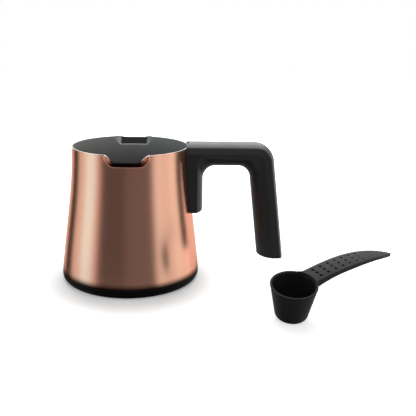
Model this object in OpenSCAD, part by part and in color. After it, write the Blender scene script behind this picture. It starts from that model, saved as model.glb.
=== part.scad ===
// Electric Turkish coffee pot with its measuring spoon.
// The pot stands on the plane z = 0 with its axis on Z. Its handle points along +X and
// its two pouring spouts along +Y and -Y. The spoon stands beside it on the same plane.

/* [Pot wall] */
// Height of the rim above the surface
pot_h = 99; // [92:1:110]
// Outer radius of the rim
rim_r = 42; // [40:0.5:44]
// Outer radius at the widest place, just above the rounded lower edge
belly_r = 50.4; // [49:0.2:53]
// Radius of the rounded lower edge
edge_r = 4.5; // [3.5:0.25:5.5]
// Thickness of the metal wall
wall_t = 0.8; // [0.6:0.1:1.2]
// Height of the metal wall's lower edge, where the black shoe begins
wall_low = 6.5; // [6:0.25:8]

/* [Spouts] */
// How far each lip stands out from the rim
lip_out = 9.4; // [7:0.2:12]
// How far each lip lies below the rim
lip_drop = 2.5; // [1:0.25:4]
// Half the straight width of the lip
lip_half = 8; // [7:0.25:10]
// Half the width of the notch at the rim
notch_half = 15.6; // [14:0.2:18]
// Depth of the trough where it leaves the wall
trough_depth = 7.2; // [6:0.2:10]
// Half the width of the trough's flat bottom at the wall
trough_half = 8.8; // [8:0.2:11]
// Radius of the trough's lower corners
trough_corner = 4.75; // [3:0.25:5]

/* [Floor and heater] */
// Height of the underside of the vessel's floor
floor_z = 27; // [27:0.5:32]
// Thickness of the vessel's floor
floor_t = 1; // [0.8:0.1:1.5]
// Height of the floor's turned-down flange
flange_h = 5; // [3:0.5:8]
// Gap at a welded or brazed joint
weld_gap = 0.05; // [0.02:0.01:0.1]
// Radius of the aluminium heat plate
plate_r = 36; // [36:0.5:40]
// Thickness of the heat plate
plate_t = 4; // [3:0.5:4]
// Radius of the heating element's ring, at the middle of its tube
element_ring_r = 27; // [26.5:0.25:27.5]
// Radius of the heating element's tube
element_tube_r = 3.3; // [2.8:0.1:3.3]
// Radius of the element's cold legs
cold_leg_r = 2.5; // [2:0.1:2.6]
// Angle of the opening in the heating element's ring
element_gap_deg = 60; // [50:5:90]
// Length of the element's cold legs, from the middle of its tube
cold_leg = 6.5; // [5:0.25:7]
// Width of the element's push-on tabs
tab_w = 6.3; // [4.8:0.1:6.3]
// Thickness of the element's push-on tabs
tab_t = 0.8; // [0.5:0.1:1]
// Length of the element's push-on tabs
tab_h = 6; // [5:0.5:8]

/* [Shoe] */
// Thickness of the shoe's shell
shoe_t = 2.4; // [2:0.1:3]
// Width of the flat ring that the pot stands on
foot_w = 6; // [4:0.5:8]
// Depth of the shallow groove in the underside
groove_depth = 1; // [0.5:0.1:1.5]
// Thickness of the sealing ring under the wall's edge
seal_t = 0.6; // [0.4:0.1:1]
// Height of the tongue inside the wall
tongue_h = 4; // [2:0.5:6]
// Gap between the tongue and the wall
tongue_gap = 0.3; // [0.2:0.05:0.5]
// Radius of the recess that takes the power station's hub
recess_r = 20; // [18:0.25:20.5]
// Depth of the recess
recess_depth = 7.5; // [7:0.25:9]
// Thickness of the collar round the recess
collar_t = 3; // [2:0.25:4]
// Radius of the circle of the shoe's screws
shoe_screw_ring = 33.2; // [33:0.1:33.5]
// Radius of the bosses for the shoe's screws
boss_r = 4; // [3.5:0.1:4.5]
// Height of the top of those bosses
boss_top = 12; // [9:0.5:14]

/* [Screws and studs] */
// Radius of the screws' shanks
screw_r = 1.25; // [1:0.05:1.4]
// Radius of the screws' heads
screw_head_r = 2.1; // [1.9:0.05:2.3]
// Height of the screws' heads
screw_head_h = 1.5; // [1.2:0.1:1.8]
// Radius of the studs under the heat plate
stud_r = 2.2; // [2:0.1:2.4]
// Gap round the screws and other seated pieces
seat_gap = 0.1; // [0.05:0.01:0.15]

/* [Control] */
// Radius of the connector and thermostat moulding
control_r = 22; // [21.5:0.25:23]
// Height of that moulding
control_h = 12.5; // [12:0.25:13]
// Depth of the ring slots in its underside
slot_depth = 5; // [4:0.25:5.5]
// Mean radius of the inner ring contact
inner_ring_r = 9.8; // [9:0.1:10.5]
// Mean radius of the outer ring contact
outer_ring_r = 15.6; // [15:0.1:16.5]
// Width of the ring slots
slot_w = 2.6; // [2:0.1:3]
// Thickness of the ring contacts
ring_t = 1; // [0.6:0.1:1.2]
// Outer radius of the centre contact
centre_r = 3.2; // [3:0.1:4]
// Inner radius of the centre contact
centre_bore_r = 2.4; // [2:0.1:2.6]
// Radius of the circle of the studs between plate and control
control_stud_ring = 17; // [16.5:0.25:18]

/* [Thermostat] */
// Half the length of the switch pocket
pocket_half = 16; // [15:0.25:16.5]
// Width of the switch pocket
pocket_w = 8; // [7:0.25:9]
// Room left under the leaf when the contact is open
pocket_spare = 1.4; // [1:0.1:1.6]
// Thickness of the plate that guides the trip pin
guide_t = 1.5; // [1:0.1:1.6]
// Radius of the trip pin
pin_r = 1.2; // [1:0.1:1.5]
// Running clearance of the trip pin in its guide
pin_clear = 0.05; // [0.03:0.01:0.08]
// Travel of the trip pin when the disc snaps
pin_travel = 0.8; // [0.4:0.1:1]
// Distance of the leaf's root from the pin
leaf_arm = 13; // [12:0.25:13.5]
// Length of the leaf beyond the pin
leaf_reach = 7; // [6:0.25:8]
// Width of the leaf
leaf_w = 5; // [4:0.25:6]
// Thickness of the leaf
leaf_t = 0.3; // [0.2:0.05:0.4]
// Depth of the leaf's top below the control's top
leaf_drop = 3; // [2.9:0.05:3.2]
// Distance of the contacts from the pin
contact_x = 5.5; // [5:0.1:6]
// Radius of the contact buttons
contact_r = 1.3; // [1:0.1:1.4]
// Height of the moving contact's button
contact_h = 0.5; // [0.3:0.05:0.6]
// Radius of the snap disc
disc_r = 9.5; // [8.5:0.1:10]
// Rise of the snap disc's middle
disc_rise = 0.8; // [0.4:0.1:0.9]
// Thickness of the snap disc
disc_t = 0.3; // [0.2:0.05:0.4]

/* [Handle] */
// Height of the line along the beam's sides where cover and frame meet
seam_z = 94.8; // [92:0.2:96]
// Half the width of the handle at that line
handle_half = 13.2; // [12:0.2:14.5]
// Distance from that line up to the edge of the crowned face, on the beam
bevel_beam = 4.3; // [3:0.1:5]
// The same distance at the end of the grip
bevel_grip = 5.7; // [4:0.1:6.5]
// Half the width of the crowned face
crown_half = 12; // [11:0.2:12.4]
// Rise of the crowned face above its edges
crown_rise = 2.8; // [1:0.1:3.5]
// Rise of the crowned face at the end of the grip
crown_low = 2.4; // [1:0.1:3.5]
// Depth of the rounded inner side below the line, on the beam
belly_beam = 10; // [8:0.2:11]
// The same depth along the grip
belly_grip = 9.5; // [8:0.1:10.5]
// How far the leg's flat sides reach out from the wall at its lower end
leg_depth = 3.1; // [3:0.05:4]
// Depth of the rounding on the leg's inner side
leg_round = 4.5; // [3:0.25:6]
// Height of the leg's lower end
leg_low = 51.5; // [48:0.5:58]
// Width of the gap for the fingers, at the top of the grip
finger_gap = 34.9; // [30:0.1:42]
// Lean of the grip away from upright
grip_lean = 6.8; // [3:0.2:9]
// Height of the grip's lower end
grip_low = 16.8; // [14:0.2:24]
// Tilt of the end cut, lower on the outer side
end_tilt = 3.5; // [0:0.5:8]
// Radius of the seam line at the outer corner
corner_r = 7.1; // [6:0.1:8]
// Radius of the inner corners
inner_r = 9.6; // [8:0.2:11]
// Wall thickness of the handle's mouldings
mould_t = 2.4; // [2:0.1:2.8]
// Height of the grip's end cap
cap_h = 3; // [2:0.25:4]
// Gap between the handle and the pot's wall
rest_gap = 0.15; // [0.1:0.05:0.3]

/* [Handle bracket] */
// Thickness of the welded bracket
bracket_t = 1.5; // [1:0.1:2]
// Half the width of the bracket
bracket_half = 7; // [5:0.25:8]
// Height of the bracket's lower edge
bracket_low = 57; // [56:0.5:62]
// Height of the bracket's upper edge
bracket_high = 88; // [80:0.5:89]
// How far the bracket's two tongues reach past the leg's flat sides
tongue_past = 1.7; // [1.4:0.05:1.8]
// Half the width of those tongues
tongue_half = 3.5; // [2.5:0.1:4]
// Thickness of the leg's skin between the handle's screws and the pot
screw_skin = 0.3; // [0.2:0.05:0.4]

/* [Spoon] */
// Outer radius of the bowl's rim
bowl_r = 15.4; // [13:0.2:17]
// Height of the bowl
bowl_h = 24; // [20:0.5:28]
// Radius of the bowl's flat bottom
bowl_foot_r = 8.2; // [7:0.2:8.6]
// Radius of the bowl's lower edge
bowl_edge_r = 2.8; // [2.4:0.1:3.2]
// Thickness of the bowl's wall
bowl_t = 1.4; // [1:0.1:1.8]
// Distance of the handle's tip from the bowl's axis
spoon_reach = 101.5; // [85:0.5:115]
// Distance from the bowl's axis at which the handle starts to narrow
spoon_straight = 46; // [40:1:55]
// Half the width of the spoon's handle
spoon_half = 7.4; // [6:0.2:9]
// Radius of the fillets where the handle leaves the bowl
spoon_fillet = 4; // [2:0.5:6]
// Thickness of the spoon's handle
spoon_t = 3.3; // [2.6:0.1:4]
// Thickness of the handle at the bowl
spoon_root_t = 4.9; // [3.5:0.1:6]
// Thickness of the handle at its tip
spoon_tip_t = 2.2; // [1.8:0.1:3]
// Drop of the handle from the rim to its tip
spoon_drop = 15.8; // [8:0.2:17]
// Direction of the spoon's handle in plan, from +X towards +Y
spoon_turn = 35.8; // [20:0.2:50]
// Lean of the spoon towards the front
spoon_lean = 13.7; // [0:0.1:16]
// Place of the spoon's bowl along X
spoon_x = 108.2; // [104:0.2:125]
// Place of the spoon's bowl along Y
spoon_y = -78.4; // [-100:0.2:-70]
// Distance of the first dimple from the bowl's axis
dimple_start = 20.9; // [20:0.1:24]
// Spacing of the dimples along the handle
dimple_step = 7.1; // [6:0.1:8]
// Spacing of the dimples across the handle
dimple_row = 3.75; // [3:0.05:4.5]
// Radius of the largest dimple
dimple_r = 1; // [0.6:0.05:1.2]

/* [Hidden] */

$fn = 96;
// Excess of a cutting shape beyond what it cuts
over = 1;

// Pot wall: the outline is half a cosine wave from the belly to the rim. It starts a little
// after the wave's crest, so the wall already leans inwards at the belly.
wave_start = 0.25;
wall_steps = 30;
function wave(t) = cos(180 * (t + wave_start) / (1 + wave_start)) + 1;
function skin_r(z) = rim_r + (belly_r - rim_r) * wave((z - edge_r) / (pot_h - edge_r)) / wave(0);
function inner_r_at(z) = skin_r(z) - wall_t;
function skin(from, to, inset, steps) = [
    for (i = [0:steps])
        let (z = from + (to - from) * i / steps)
        [skin_r(z) - inset, z]
];
function reversed(list) = [for (i = [len(list) - 1:-1:0]) list[i]];
function mix(a, b, t) = a + (b - a) * t;
function arc(centre, r, from, to, steps) = [
    for (i = [0:steps])
        let (a = mix(from, to, i / steps))
        centre + r * [cos(a), sin(a)]
];

// Heights that stack up inside the base
plate_low = floor_z - plate_t;
control_top = recess_depth + control_h;
pocket_depth = leaf_drop + leaf_t + pin_travel + pocket_spare;
element_z = plate_low - weld_gap - element_tube_r;
leg_end_z = element_z - cold_leg;
groove_z = groove_depth;
shoe_head_z = groove_z + 1;
shoe_screw_top = boss_top + 5;
seam_edge_z = wall_low - seal_t;

// Spout: the trough's outline on the wall, as half a list of [x, drop below the rim]
corner_centre = [trough_half, -trough_depth + trough_corner];
corner_way = [notch_half, 0] - corner_centre;
side_lean = atan2(corner_way[0], corner_way[1]) - asin(trough_corner / norm(corner_way));
flat_steps = 3;
corner_steps = 6;
side_steps = 4;
side_foot = corner_centre + trough_corner * [cos(side_lean), -sin(side_lean)];
trough_line = concat(
    [for (i = [0:flat_steps - 1]) [trough_half * i / flat_steps, -trough_depth]],
    arc(corner_centre, trough_corner, -90, -side_lean, corner_steps),
    [for (i = [1:side_steps]) mix(side_foot, [notch_half, 0], i / side_steps)]
);
// Outward normal of that outline at each of its points, in the XZ plane
trough_out = concat(
    [for (i = [0:flat_steps - 1]) [0, -1]],
    [for (i = [0:corner_steps]) let (a = mix(-90, -side_lean, i / corner_steps)) [cos(a), sin(a)]],
    [for (i = [1:side_steps]) [cos(side_lean), -sin(side_lean)]]
);
// Lip: straight in front, then a curve that rises and runs back to the rim, as [x, y, z]
lip_y = -(rim_r + lip_out);
lip_z = pot_h - lip_drop;
lip_end = [notch_half, -sqrt(pow(rim_r + seat_gap, 2) - pow(notch_half, 2)), pot_h];
lip_tip = [lip_half, lip_y, lip_z];
// The curve leaves the lip and meets the rim on these two handles
lip_leave = lip_tip + [0.28 * (notch_half - lip_half), 0, 0.24 * lip_drop];
lip_meet = lip_end + [-0.48 * (notch_half - lip_half), -0.28 * lip_out, 0.2 * lip_drop];
function bend(a, b, c, t) = mix(mix(a, b, t), mix(b, c, t), t);
function sweep(a, b, c, d, t) = mix(bend(a, b, c, t), bend(b, c, d, t), t);
lip_steps = corner_steps + side_steps;
lip_line = concat(
    [for (i = [0:flat_steps - 1]) mix([0, lip_y, lip_z], lip_tip, i / flat_steps)],
    [for (i = [0:lip_steps]) sweep(lip_tip, lip_leave, lip_meet, lip_end, i / lip_steps)]
);
function on_wall(p) = [p[0], -sqrt(pow(skin_r(pot_h + p[1]) - wall_t / 2, 2) - pow(p[0], 2)), pot_h + p[1]];
function mirrored(p) = [-p[0], p[1], p[2]];
function both_sides(half) = concat(
    [for (i = [len(half) - 1:-1:1]) mirrored(half[i])],
    half
);
trough_rows = 4;
function trough_section(t) = [
    both_sides([for (i = [0:len(trough_line) - 1]) mix(on_wall(trough_line[i]), lip_line[i], t)]),
    both_sides([
        for (i = [0:len(trough_line) - 1])
            let (n = [trough_out[i][0], 0, trough_out[i][1]] * wall_t)
            mix(on_wall(trough_line[i] + trough_out[i] * wall_t), lip_line[i] + n, t)
    ])
];

leg_wall_x = skin_r(leg_low);
leg_x = leg_wall_x + leg_depth;
grip_x = leg_x + leg_round + finger_gap + belly_grip;
tongue_x = leg_x + tongue_past;
handle_screw_x = leg_wall_x + rest_gap + screw_skin + screw_head_r + seat_gap;
// Handle: four lines in the XZ plane run along the arch, from the leg or the wall to the end of
// the grip. They are the top of the crown, its edge, the seam line and the inner line.
grip_dir = [sin(grip_lean), -cos(grip_lean)];
grip_out = [cos(grip_lean), sin(grip_lean)];
corner_c = [grip_x - corner_r, seam_z - corner_r];
grip_in_x = grip_x - belly_grip;
inner_c = [grip_in_x - inner_r, seam_z - belly_beam - inner_r];
leg_in_x = leg_x + leg_round;
left_c = [leg_in_x + inner_r, seam_z - belly_beam - inner_r];
left_seam_r = 6;
left_seam_c = [leg_x + left_seam_r, seam_z - left_seam_r];
arch_start = rim_r - 4;
bend_steps = 8;
// Each line of the grip ends on the end cut, at a distance across from the seam line
function grip_point(i, across, k) = let (from = grip_top[i])
    from + grip_dir * k * (from[1] - grip_low + across * tan(end_tilt)) / cos(grip_lean);
// A station is [crown top, crown edge, seam point, inner point]
function corner_station(a, k) = let (
    bevel = mix(bevel_beam, mix(bevel_beam, bevel_grip, 0.6), k),
    way = [cos(a), sin(a)]
) [
    corner_c + (corner_r + bevel + crown_rise) * way,
    corner_c + (corner_r + bevel) * way,
    corner_c + corner_r * way,
    inner_c + inner_r * way
];
grip_top = corner_station(grip_lean, 1);
function grip_station(k) = let (
    widen = 0.4 * (bevel_grip - bevel_beam) * k,
    flatten = (crown_rise - crown_low) * k
) [
    grip_point(0, bevel_grip + crown_low, k) + [widen - flatten, 0],
    grip_point(1, bevel_grip, k) + [widen, 0],
    grip_point(2, 0, k),
    grip_point(3, -belly_grip, k)
];
function beam_station(x) = [
    [x, seam_z + bevel_beam + crown_rise], [x, seam_z + bevel_beam], [x, seam_z], [x, seam_z - belly_beam]
];
grip_steps = 4;
beam_to_grip = concat(
    [beam_station(left_c[0]), beam_station(mix(left_c[0], inner_c[0], 0.5)), beam_station(inner_c[0])],
    [for (i = [1:bend_steps]) corner_station(mix(90, grip_lean, i / bend_steps), i / bend_steps)],
    [for (i = [1:grip_steps]) grip_station(i / grip_steps)]
);
cover_line = concat([beam_station(arch_start)], beam_to_grip);
// The leg's inner side is a parabola, which turns into half an ellipse round the corner. The
// fifth entry of a station is that power: 2 for the parabola, 1 for the ellipse.
function left_station(a) = [
    [0, 0], [0, 0], left_seam_c + left_seam_r * [cos(a), sin(a)], left_c + inner_r * [cos(a), sin(a)], a / 90
];
frame_line = concat(
    [[[0, 0], [0, 0], [leg_x, leg_low], [leg_in_x, leg_low], 2]],
    [for (i = [0:bend_steps - 1]) left_station(mix(180, 90, i / bend_steps))],
    beam_to_grip
);
function lift(p, y) = [p[0], y, p[1]];
// Both curves of a section are cut into the same number of pieces
ring_steps = 12;
// Rounded inner side, from the seam line on one side, through the inner line, to the other side
function belly_section(s, inset) = let (
    depth = norm(s[3] - s[2]),
    way = (s[3] - s[2]) / depth,
    power = len(s) > 4 ? s[4] : 1
) [
    for (i = [0:ring_steps])
        let (a = mix(90, -90, i / ring_steps))
        lift(s[2] + way * (depth - inset) * pow(cos(a), power), (handle_half - inset) * sin(a))
];
// The bevels and the crown, from the seam line on one side to the other. The inner face
// follows them at the mouldings' thickness.
crown_steps = ring_steps - 2;
function cap_section(s, inset) = let (
    up = (s[0] - s[1]) / norm(s[0] - s[1]),
    half = crown_half - inset,
    edge = s[1] - up * inset,
    rise = norm(s[0] - s[1]),
    crown = [
        for (i = [0:crown_steps])
            let (y = mix(half, -half, i / crown_steps))
            lift(edge + up * rise * (1 - pow(y / crown_half, 2)), y)
    ]
) concat([lift(s[2], handle_half - inset)], crown, [lift(s[2], inset - handle_half)]);

// Spoon: the handle starts level with the rim and arches down to its tip
// Fillet circle between the handle's straight side and the bowl's rim
fillet_y = spoon_half + spoon_fillet;
fillet_x = sqrt(pow(bowl_r + spoon_fillet, 2) - pow(fillet_y, 2));
fillet_end = fillet_x * bowl_r / (bowl_r + spoon_fillet);
spoon_stations = concat(
    [fillet_end - 2],
    [for (i = [0:5]) mix(fillet_end, fillet_x, i / 5)],
    [for (i = [1:4]) mix(fillet_x, spoon_straight, i / 4)],
    [for (i = [1:12]) mix(spoon_straight, spoon_reach, sin(90 * i / 12))]
);
function spoon_top(s) = bowl_h + 0.5
    - spoon_drop * pow(max(0, (s - dimple_start) / (spoon_reach - dimple_start)), 2.25);
function spoon_width(s) = let (u = max(0, (s - spoon_straight) / (spoon_reach - spoon_straight)))
    s < fillet_x
        ? fillet_y - sqrt(pow(spoon_fillet, 2) - pow(fillet_x - max(s, fillet_end), 2))
        : spoon_half * pow(max(0.02, 1 - pow(u, 1.8)), 0.6);
function spoon_depth(s) = s < spoon_straight
    ? mix(spoon_t, spoon_root_t, pow((spoon_straight - s) / (spoon_straight - fillet_x), 3))
    : mix(spoon_t, spoon_tip_t, (s - spoon_straight) / (spoon_reach - spoon_straight));
spoon_rise = bowl_foot_r * sin(spoon_lean) + bowl_edge_r * (1 - cos(spoon_lean));
edge_round = 0.5;
// Section of the handle across its length: the upper and the lower side, from -Y to +Y
function spoon_ring(s) = let (
    w = spoon_width(s),
    e = min(edge_round, 0.4 * w),
    z = spoon_top(s),
    low = z - spoon_depth(s)
) [
    [[s, -w, z - e], [s, e - w, z], [s, 0, z + 0.15], [s, w - e, z], [s, w, z - e]],
    [[s, -w, low + e], [s, e - w, low], [s, 0, low], [s, w - e, low], [s, w, low + e]]
];

module revolve(points) {
    rotate_extrude() polygon(points);
}

module tube(r_out, r_in, h) {
    difference() {
        cylinder(r = r_out, h = h);
        translate([0, 0, -over]) cylinder(r = r_in, h = h + 2 * over);
    }
}

module around(radius, angles) {
    for (a = angles) rotate(a) translate([radius, 0, 0]) children();
}

// Joins sections into one closed solid. Each section holds two open lines of equal length,
// the solid's upper and its lower side there.
module loft(sections) {
    m = len(sections[0][0]);
    n = 2 * m;
    last = len(sections) - 1;
    points = [for (s = sections) each concat(s[0], reversed(s[1]))];
    sides = [
        for (j = [0:last - 1]) for (i = [0:n - 1])
            let (a = j * n + i, b = j * n + (i + 1) % n)
            each [[a, b, b + n], [a, b + n, a + n]]
    ];
    ends = [
        for (i = [0:m - 2])
            let (a = i, b = i + 1, c = n - 2 - i, d = n - 1 - i, z = last * n)
            each [[a, c, b], [a, d, c], [z + a, z + b, z + c], [z + a, z + c, z + d]]
    ];
    polyhedron(points, concat(sides, ends));
}

module spout_notch() {
    half = concat(trough_line, [[notch_half, over]]);
    outline = concat([for (i = [len(half) - 1:-1:1]) [-half[i][0], half[i][1]]], half);
    translate([0, -0.8 * rim_r, pot_h]) rotate([90, 0, 0]) linear_extrude(0.4 * rim_r) polygon(outline);
}

module pot_wall() {
    color("peru") {
        difference() {
            revolve(concat(
                skin(wall_low, pot_h, 0, wall_steps),
                reversed(skin(wall_low, pot_h, wall_t, wall_steps))
            ));
            for (a = [0, 180]) rotate(a) spout_notch();
        }
        for (a = [0, 180]) rotate(a)
            loft([for (i = [0:trough_rows]) trough_section(i / trough_rows)]);
    }
}

module pot_floor() {
    low = floor_z - flange_h;
    high = floor_z + floor_t;
    color("dimgray") revolve(concat(
        [[0, floor_z]],
        [[inner_r_at(floor_z) - weld_gap - floor_t, floor_z]],
        reversed(skin(low, floor_z, wall_t + weld_gap + floor_t, 4)),
        skin(low, high, wall_t + weld_gap, 6),
        [[0, high]]
    ));
}

module heat_plate() {
    color("silver") translate([0, 0, plate_low]) cylinder(r = plate_r, h = plate_t);
}

element_ends = [180 - element_gap_deg / 2, 180 + element_gap_deg / 2];
// The legs stand a little more than their own radius back from the tube's ends
leg_back = asin(1.4 * cold_leg_r / element_ring_r);
leg_angles = [element_ends[0] - leg_back, element_ends[1] + leg_back];

module heating_element() {
    color("gray") translate([0, 0, element_z]) {
        rotate(element_ends[1]) rotate_extrude(angle = 360 - element_gap_deg)
            translate([element_ring_r, 0]) circle(r = element_tube_r);
        around(element_ring_r, leg_angles) translate([0, 0, -cold_leg])
            cylinder(r = cold_leg_r, h = cold_leg, $fn = 48);
    }
}

module element_tabs() {
    color("silver") around(element_ring_r, leg_angles) translate([-tab_t / 2, -tab_w / 2, leg_end_z - tab_h])
        cube([tab_t, tab_w, tab_h]);
}

shoe_angles = [60, 180, 300];
control_angles = [90, 210, 330];

module plate_studs() {
    color("silver") {
        around(control_stud_ring, control_angles) translate([0, 0, control_top])
            cylinder(r = stud_r, h = plate_low - control_top, $fn = 32);
        around(shoe_screw_ring, shoe_angles) difference() {
            translate([0, 0, boss_top]) cylinder(r = stud_r, h = plate_low - boss_top, $fn = 32);
            translate([0, 0, boss_top - over])
                cylinder(r = screw_r + seat_gap, h = shoe_screw_top - boss_top + over + seat_gap, $fn = 32);
        }
    }
}

module base_shoe() {
    edge_c = [belly_r - edge_r, edge_r];
    collar_r = recess_r + collar_t;
    tongue_out = wall_t + tongue_gap;
    color("#1a1a1a") difference() {
        union() {
            revolve(concat(
                [[recess_r, 0], [collar_r, 0], [collar_r, groove_z]],
                [[edge_c[0] - foot_w, groove_z], [edge_c[0] - foot_w, 0]],
                arc(edge_c, edge_r, -90, 0, 8),
                [[skin_r(seam_edge_z), seam_edge_z]],
                skin(seam_edge_z, wall_low + tongue_h, tongue_out, 4),
                reversed(skin(seam_edge_z, wall_low + tongue_h, tongue_out + shoe_t, 4)),
                reversed(arc(edge_c + [0, groove_z], edge_r - shoe_t, -90, -10, 6)),
                [[collar_r, groove_z + shoe_t], [collar_r, recess_depth], [recess_r, recess_depth]]
            ));
            around(shoe_screw_ring, shoe_angles) translate([0, 0, groove_z])
                cylinder(r = boss_r, h = boss_top - groove_z);
        }
        around(shoe_screw_ring, shoe_angles) {
            translate([0, 0, -over]) cylinder(r = screw_r + seat_gap, h = boss_top + 2 * over, $fn = 32);
            translate([0, 0, -over]) cylinder(
                r = screw_head_r + seat_gap, h = shoe_head_z + screw_head_h + over, $fn = 32
            );
        }
    }
}

module shoe_seal() {
    color("black") revolve([
        [skin_r(seam_edge_z) - wall_t, seam_edge_z],
        [skin_r(seam_edge_z) - seat_gap, seam_edge_z],
        [skin_r(wall_low) - seat_gap, wall_low],
        [skin_r(wall_low) - wall_t, wall_low]
    ]);
}

module screw(length) {
    cylinder(r = screw_head_r, h = screw_head_h, $fn = 32);
    cylinder(r = screw_r, h = length, $fn = 32);
}

module shoe_screws() {
    color("silver") around(shoe_screw_ring, shoe_angles) translate([0, 0, shoe_head_z])
        difference() {
            screw(shoe_screw_top - shoe_head_z);
            translate([-screw_head_r, -screw_r / 3, -over])
                cube([2 * screw_head_r, screw_r / 1.5, over + screw_head_h / 2]);
        }
}

guide_low = control_top - guide_t;
guide_side = 1;

module control_body() {
    color("#2b2b2b") difference() {
        translate([0, 0, recess_depth]) cylinder(r = control_r, h = control_h);
        translate([0, 0, recess_depth - over]) {
            for (r = [inner_ring_r, outer_ring_r])
                tube(r + slot_w / 2, r - slot_w / 2, slot_depth + over);
            cylinder(r = centre_r + weld_gap, h = slot_depth + over);
        }
        translate([-pocket_half, -pocket_w / 2, control_top - pocket_depth])
            cube([2 * pocket_half, pocket_w, pocket_depth + over]);
        translate([-pocket_half - guide_side, -pocket_w / 2 - guide_side, guide_low])
            cube([2 * (pocket_half + guide_side), pocket_w + 2 * guide_side, guide_t + over]);
    }
}

module centre_contact() {
    color("gold") translate([0, 0, recess_depth + 0.5]) tube(centre_r, centre_bore_r, slot_depth - 0.5);
}

module ring_contacts() {
    color("gold") for (r = [inner_ring_r, outer_ring_r])
        translate([0, 0, recess_depth + 0.5]) tube(r + ring_t / 2, r - ring_t / 2, slot_depth - 0.5);
}

module lead_straps() {
    reach = element_ring_r - tab_t / 2 - control_r - 2 * weld_gap;
    color("gold") around(control_r + weld_gap, leg_angles)
        translate([0, -tab_w / 4, leg_end_z - tab_h + over]) cube([reach, tab_w / 2, tab_t]);
}

module guide_plate() {
    half = pocket_half + guide_side - seat_gap;
    width = pocket_w + 2 * guide_side - 2 * seat_gap;
    color("ivory") difference() {
        translate([-half, -width / 2, guide_low]) cube([2 * half, width, guide_t]);
        translate([0, 0, guide_low - over]) cylinder(r = pin_r + pin_clear, h = guide_t + 2 * over, $fn = 48);
    }
}

leaf_top = control_top - leaf_drop;
disc_low = control_top + 1.2;

module trip_pin() {
    color("white") translate([0, 0, leaf_top])
        cylinder(r = pin_r, h = disc_low + disc_rise - 0.3 - leaf_top, $fn = 48);
}

carrier_in = disc_r - 0.9;
carrier_out = disc_r + 2;

module disc_carrier() {
    color("silver") difference() {
        translate([0, 0, control_top]) cylinder(r = carrier_out, h = disc_low - control_top + 1);
        translate([0, 0, control_top - over]) cylinder(r = carrier_in, h = disc_low);
        translate([0, 0, disc_low]) cylinder(r = disc_r + 0.2, h = 2);
    }
}

module snap_disc() {
    dish = [for (i = [0:8]) let (u = i / 8) [disc_r * u, disc_low + disc_rise * (1 - u * u)]];
    color("goldenrod") revolve(concat(
        dish, [[disc_r, disc_low + disc_t]], reversed([for (p = dish) [p[0], p[1] + disc_t]])
    ));
}

module switch_leaf() {
    color("gold") {
        translate([-leaf_arm + 0.3, -leaf_w / 2, leaf_top - leaf_t])
            cube([leaf_arm - 0.3 + leaf_reach, leaf_w, leaf_t]);
        translate([contact_x, 0, leaf_top - leaf_t / 2]) cylinder(r = contact_r, h = contact_h + leaf_t / 2, $fn = 32);
    }
}

module leaf_terminal() {
    floor_at = control_top - pocket_depth;
    color("gold") translate([-pocket_half + seat_gap, -leaf_w / 2, floor_at])
        cube([pocket_half - seat_gap - leaf_arm, leaf_w, leaf_top + 1 - floor_at]);
}

contact_post = 2.6;
strip_t = 0.4;
strip_low = leaf_top + 0.9;

module fixed_contact() {
    floor_at = control_top - pocket_depth;
    button_low = leaf_top + contact_h + weld_gap;
    color("gold") {
        translate([pocket_half - seat_gap - contact_post, -2, floor_at]) cube([contact_post, 4, strip_low - floor_at]);
        translate([contact_x - 2, -2, strip_low]) cube([pocket_half - seat_gap - contact_x + 2, 4, strip_t]);
        translate([contact_x, 0, button_low]) cylinder(r = contact_r, h = strip_low + strip_t / 2 - button_low, $fn = 32);
    }
}

// Undersides of the bracket's two tongues
tongue_zs = [bracket_low, bracket_high - bracket_t];
handle_head_z = leg_low + 1;
web_t = 2;
lap = 0.05;

module bracket_sheet(inset, grow) {
    intersection() {
        revolve(concat(
            skin(bracket_low - over, bracket_high + over, -inset - bracket_t - grow, 12),
            reversed(skin(bracket_low - over, bracket_high + over, -inset, 12))
        ));
        translate([0, -bracket_half - grow, bracket_low - grow])
            cube([2 * rim_r, 2 * (bracket_half + grow), bracket_high - bracket_low + 2 * grow]);
    }
}

module handle_bracket() {
    color("gray") difference() {
        union() {
            bracket_sheet(weld_gap, 0);
            for (z = tongue_zs) difference() {
                translate([rim_r - 2, -tongue_half, z]) cube([tongue_x - rim_r + 2, 2 * tongue_half, bracket_t]);
                revolve(concat([[0, 0]], skin(bracket_low - over, pot_h, -weld_gap, 16), [[0, pot_h]]));
            }
        }
        for (z = tongue_zs) translate([handle_screw_x, 0, z - over])
            cylinder(r = screw_r + seat_gap, h = bracket_t + 2 * over, $fn = 32);
    }
}

module pot_space(gap) {
    top = seam_z + bevel_beam + crown_rise + over;
    revolve(concat(
        [[0, leg_low - over]], skin(leg_low - over, pot_h, -gap, 20), [[rim_r + gap, top], [0, top]]
    ));
}

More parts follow.
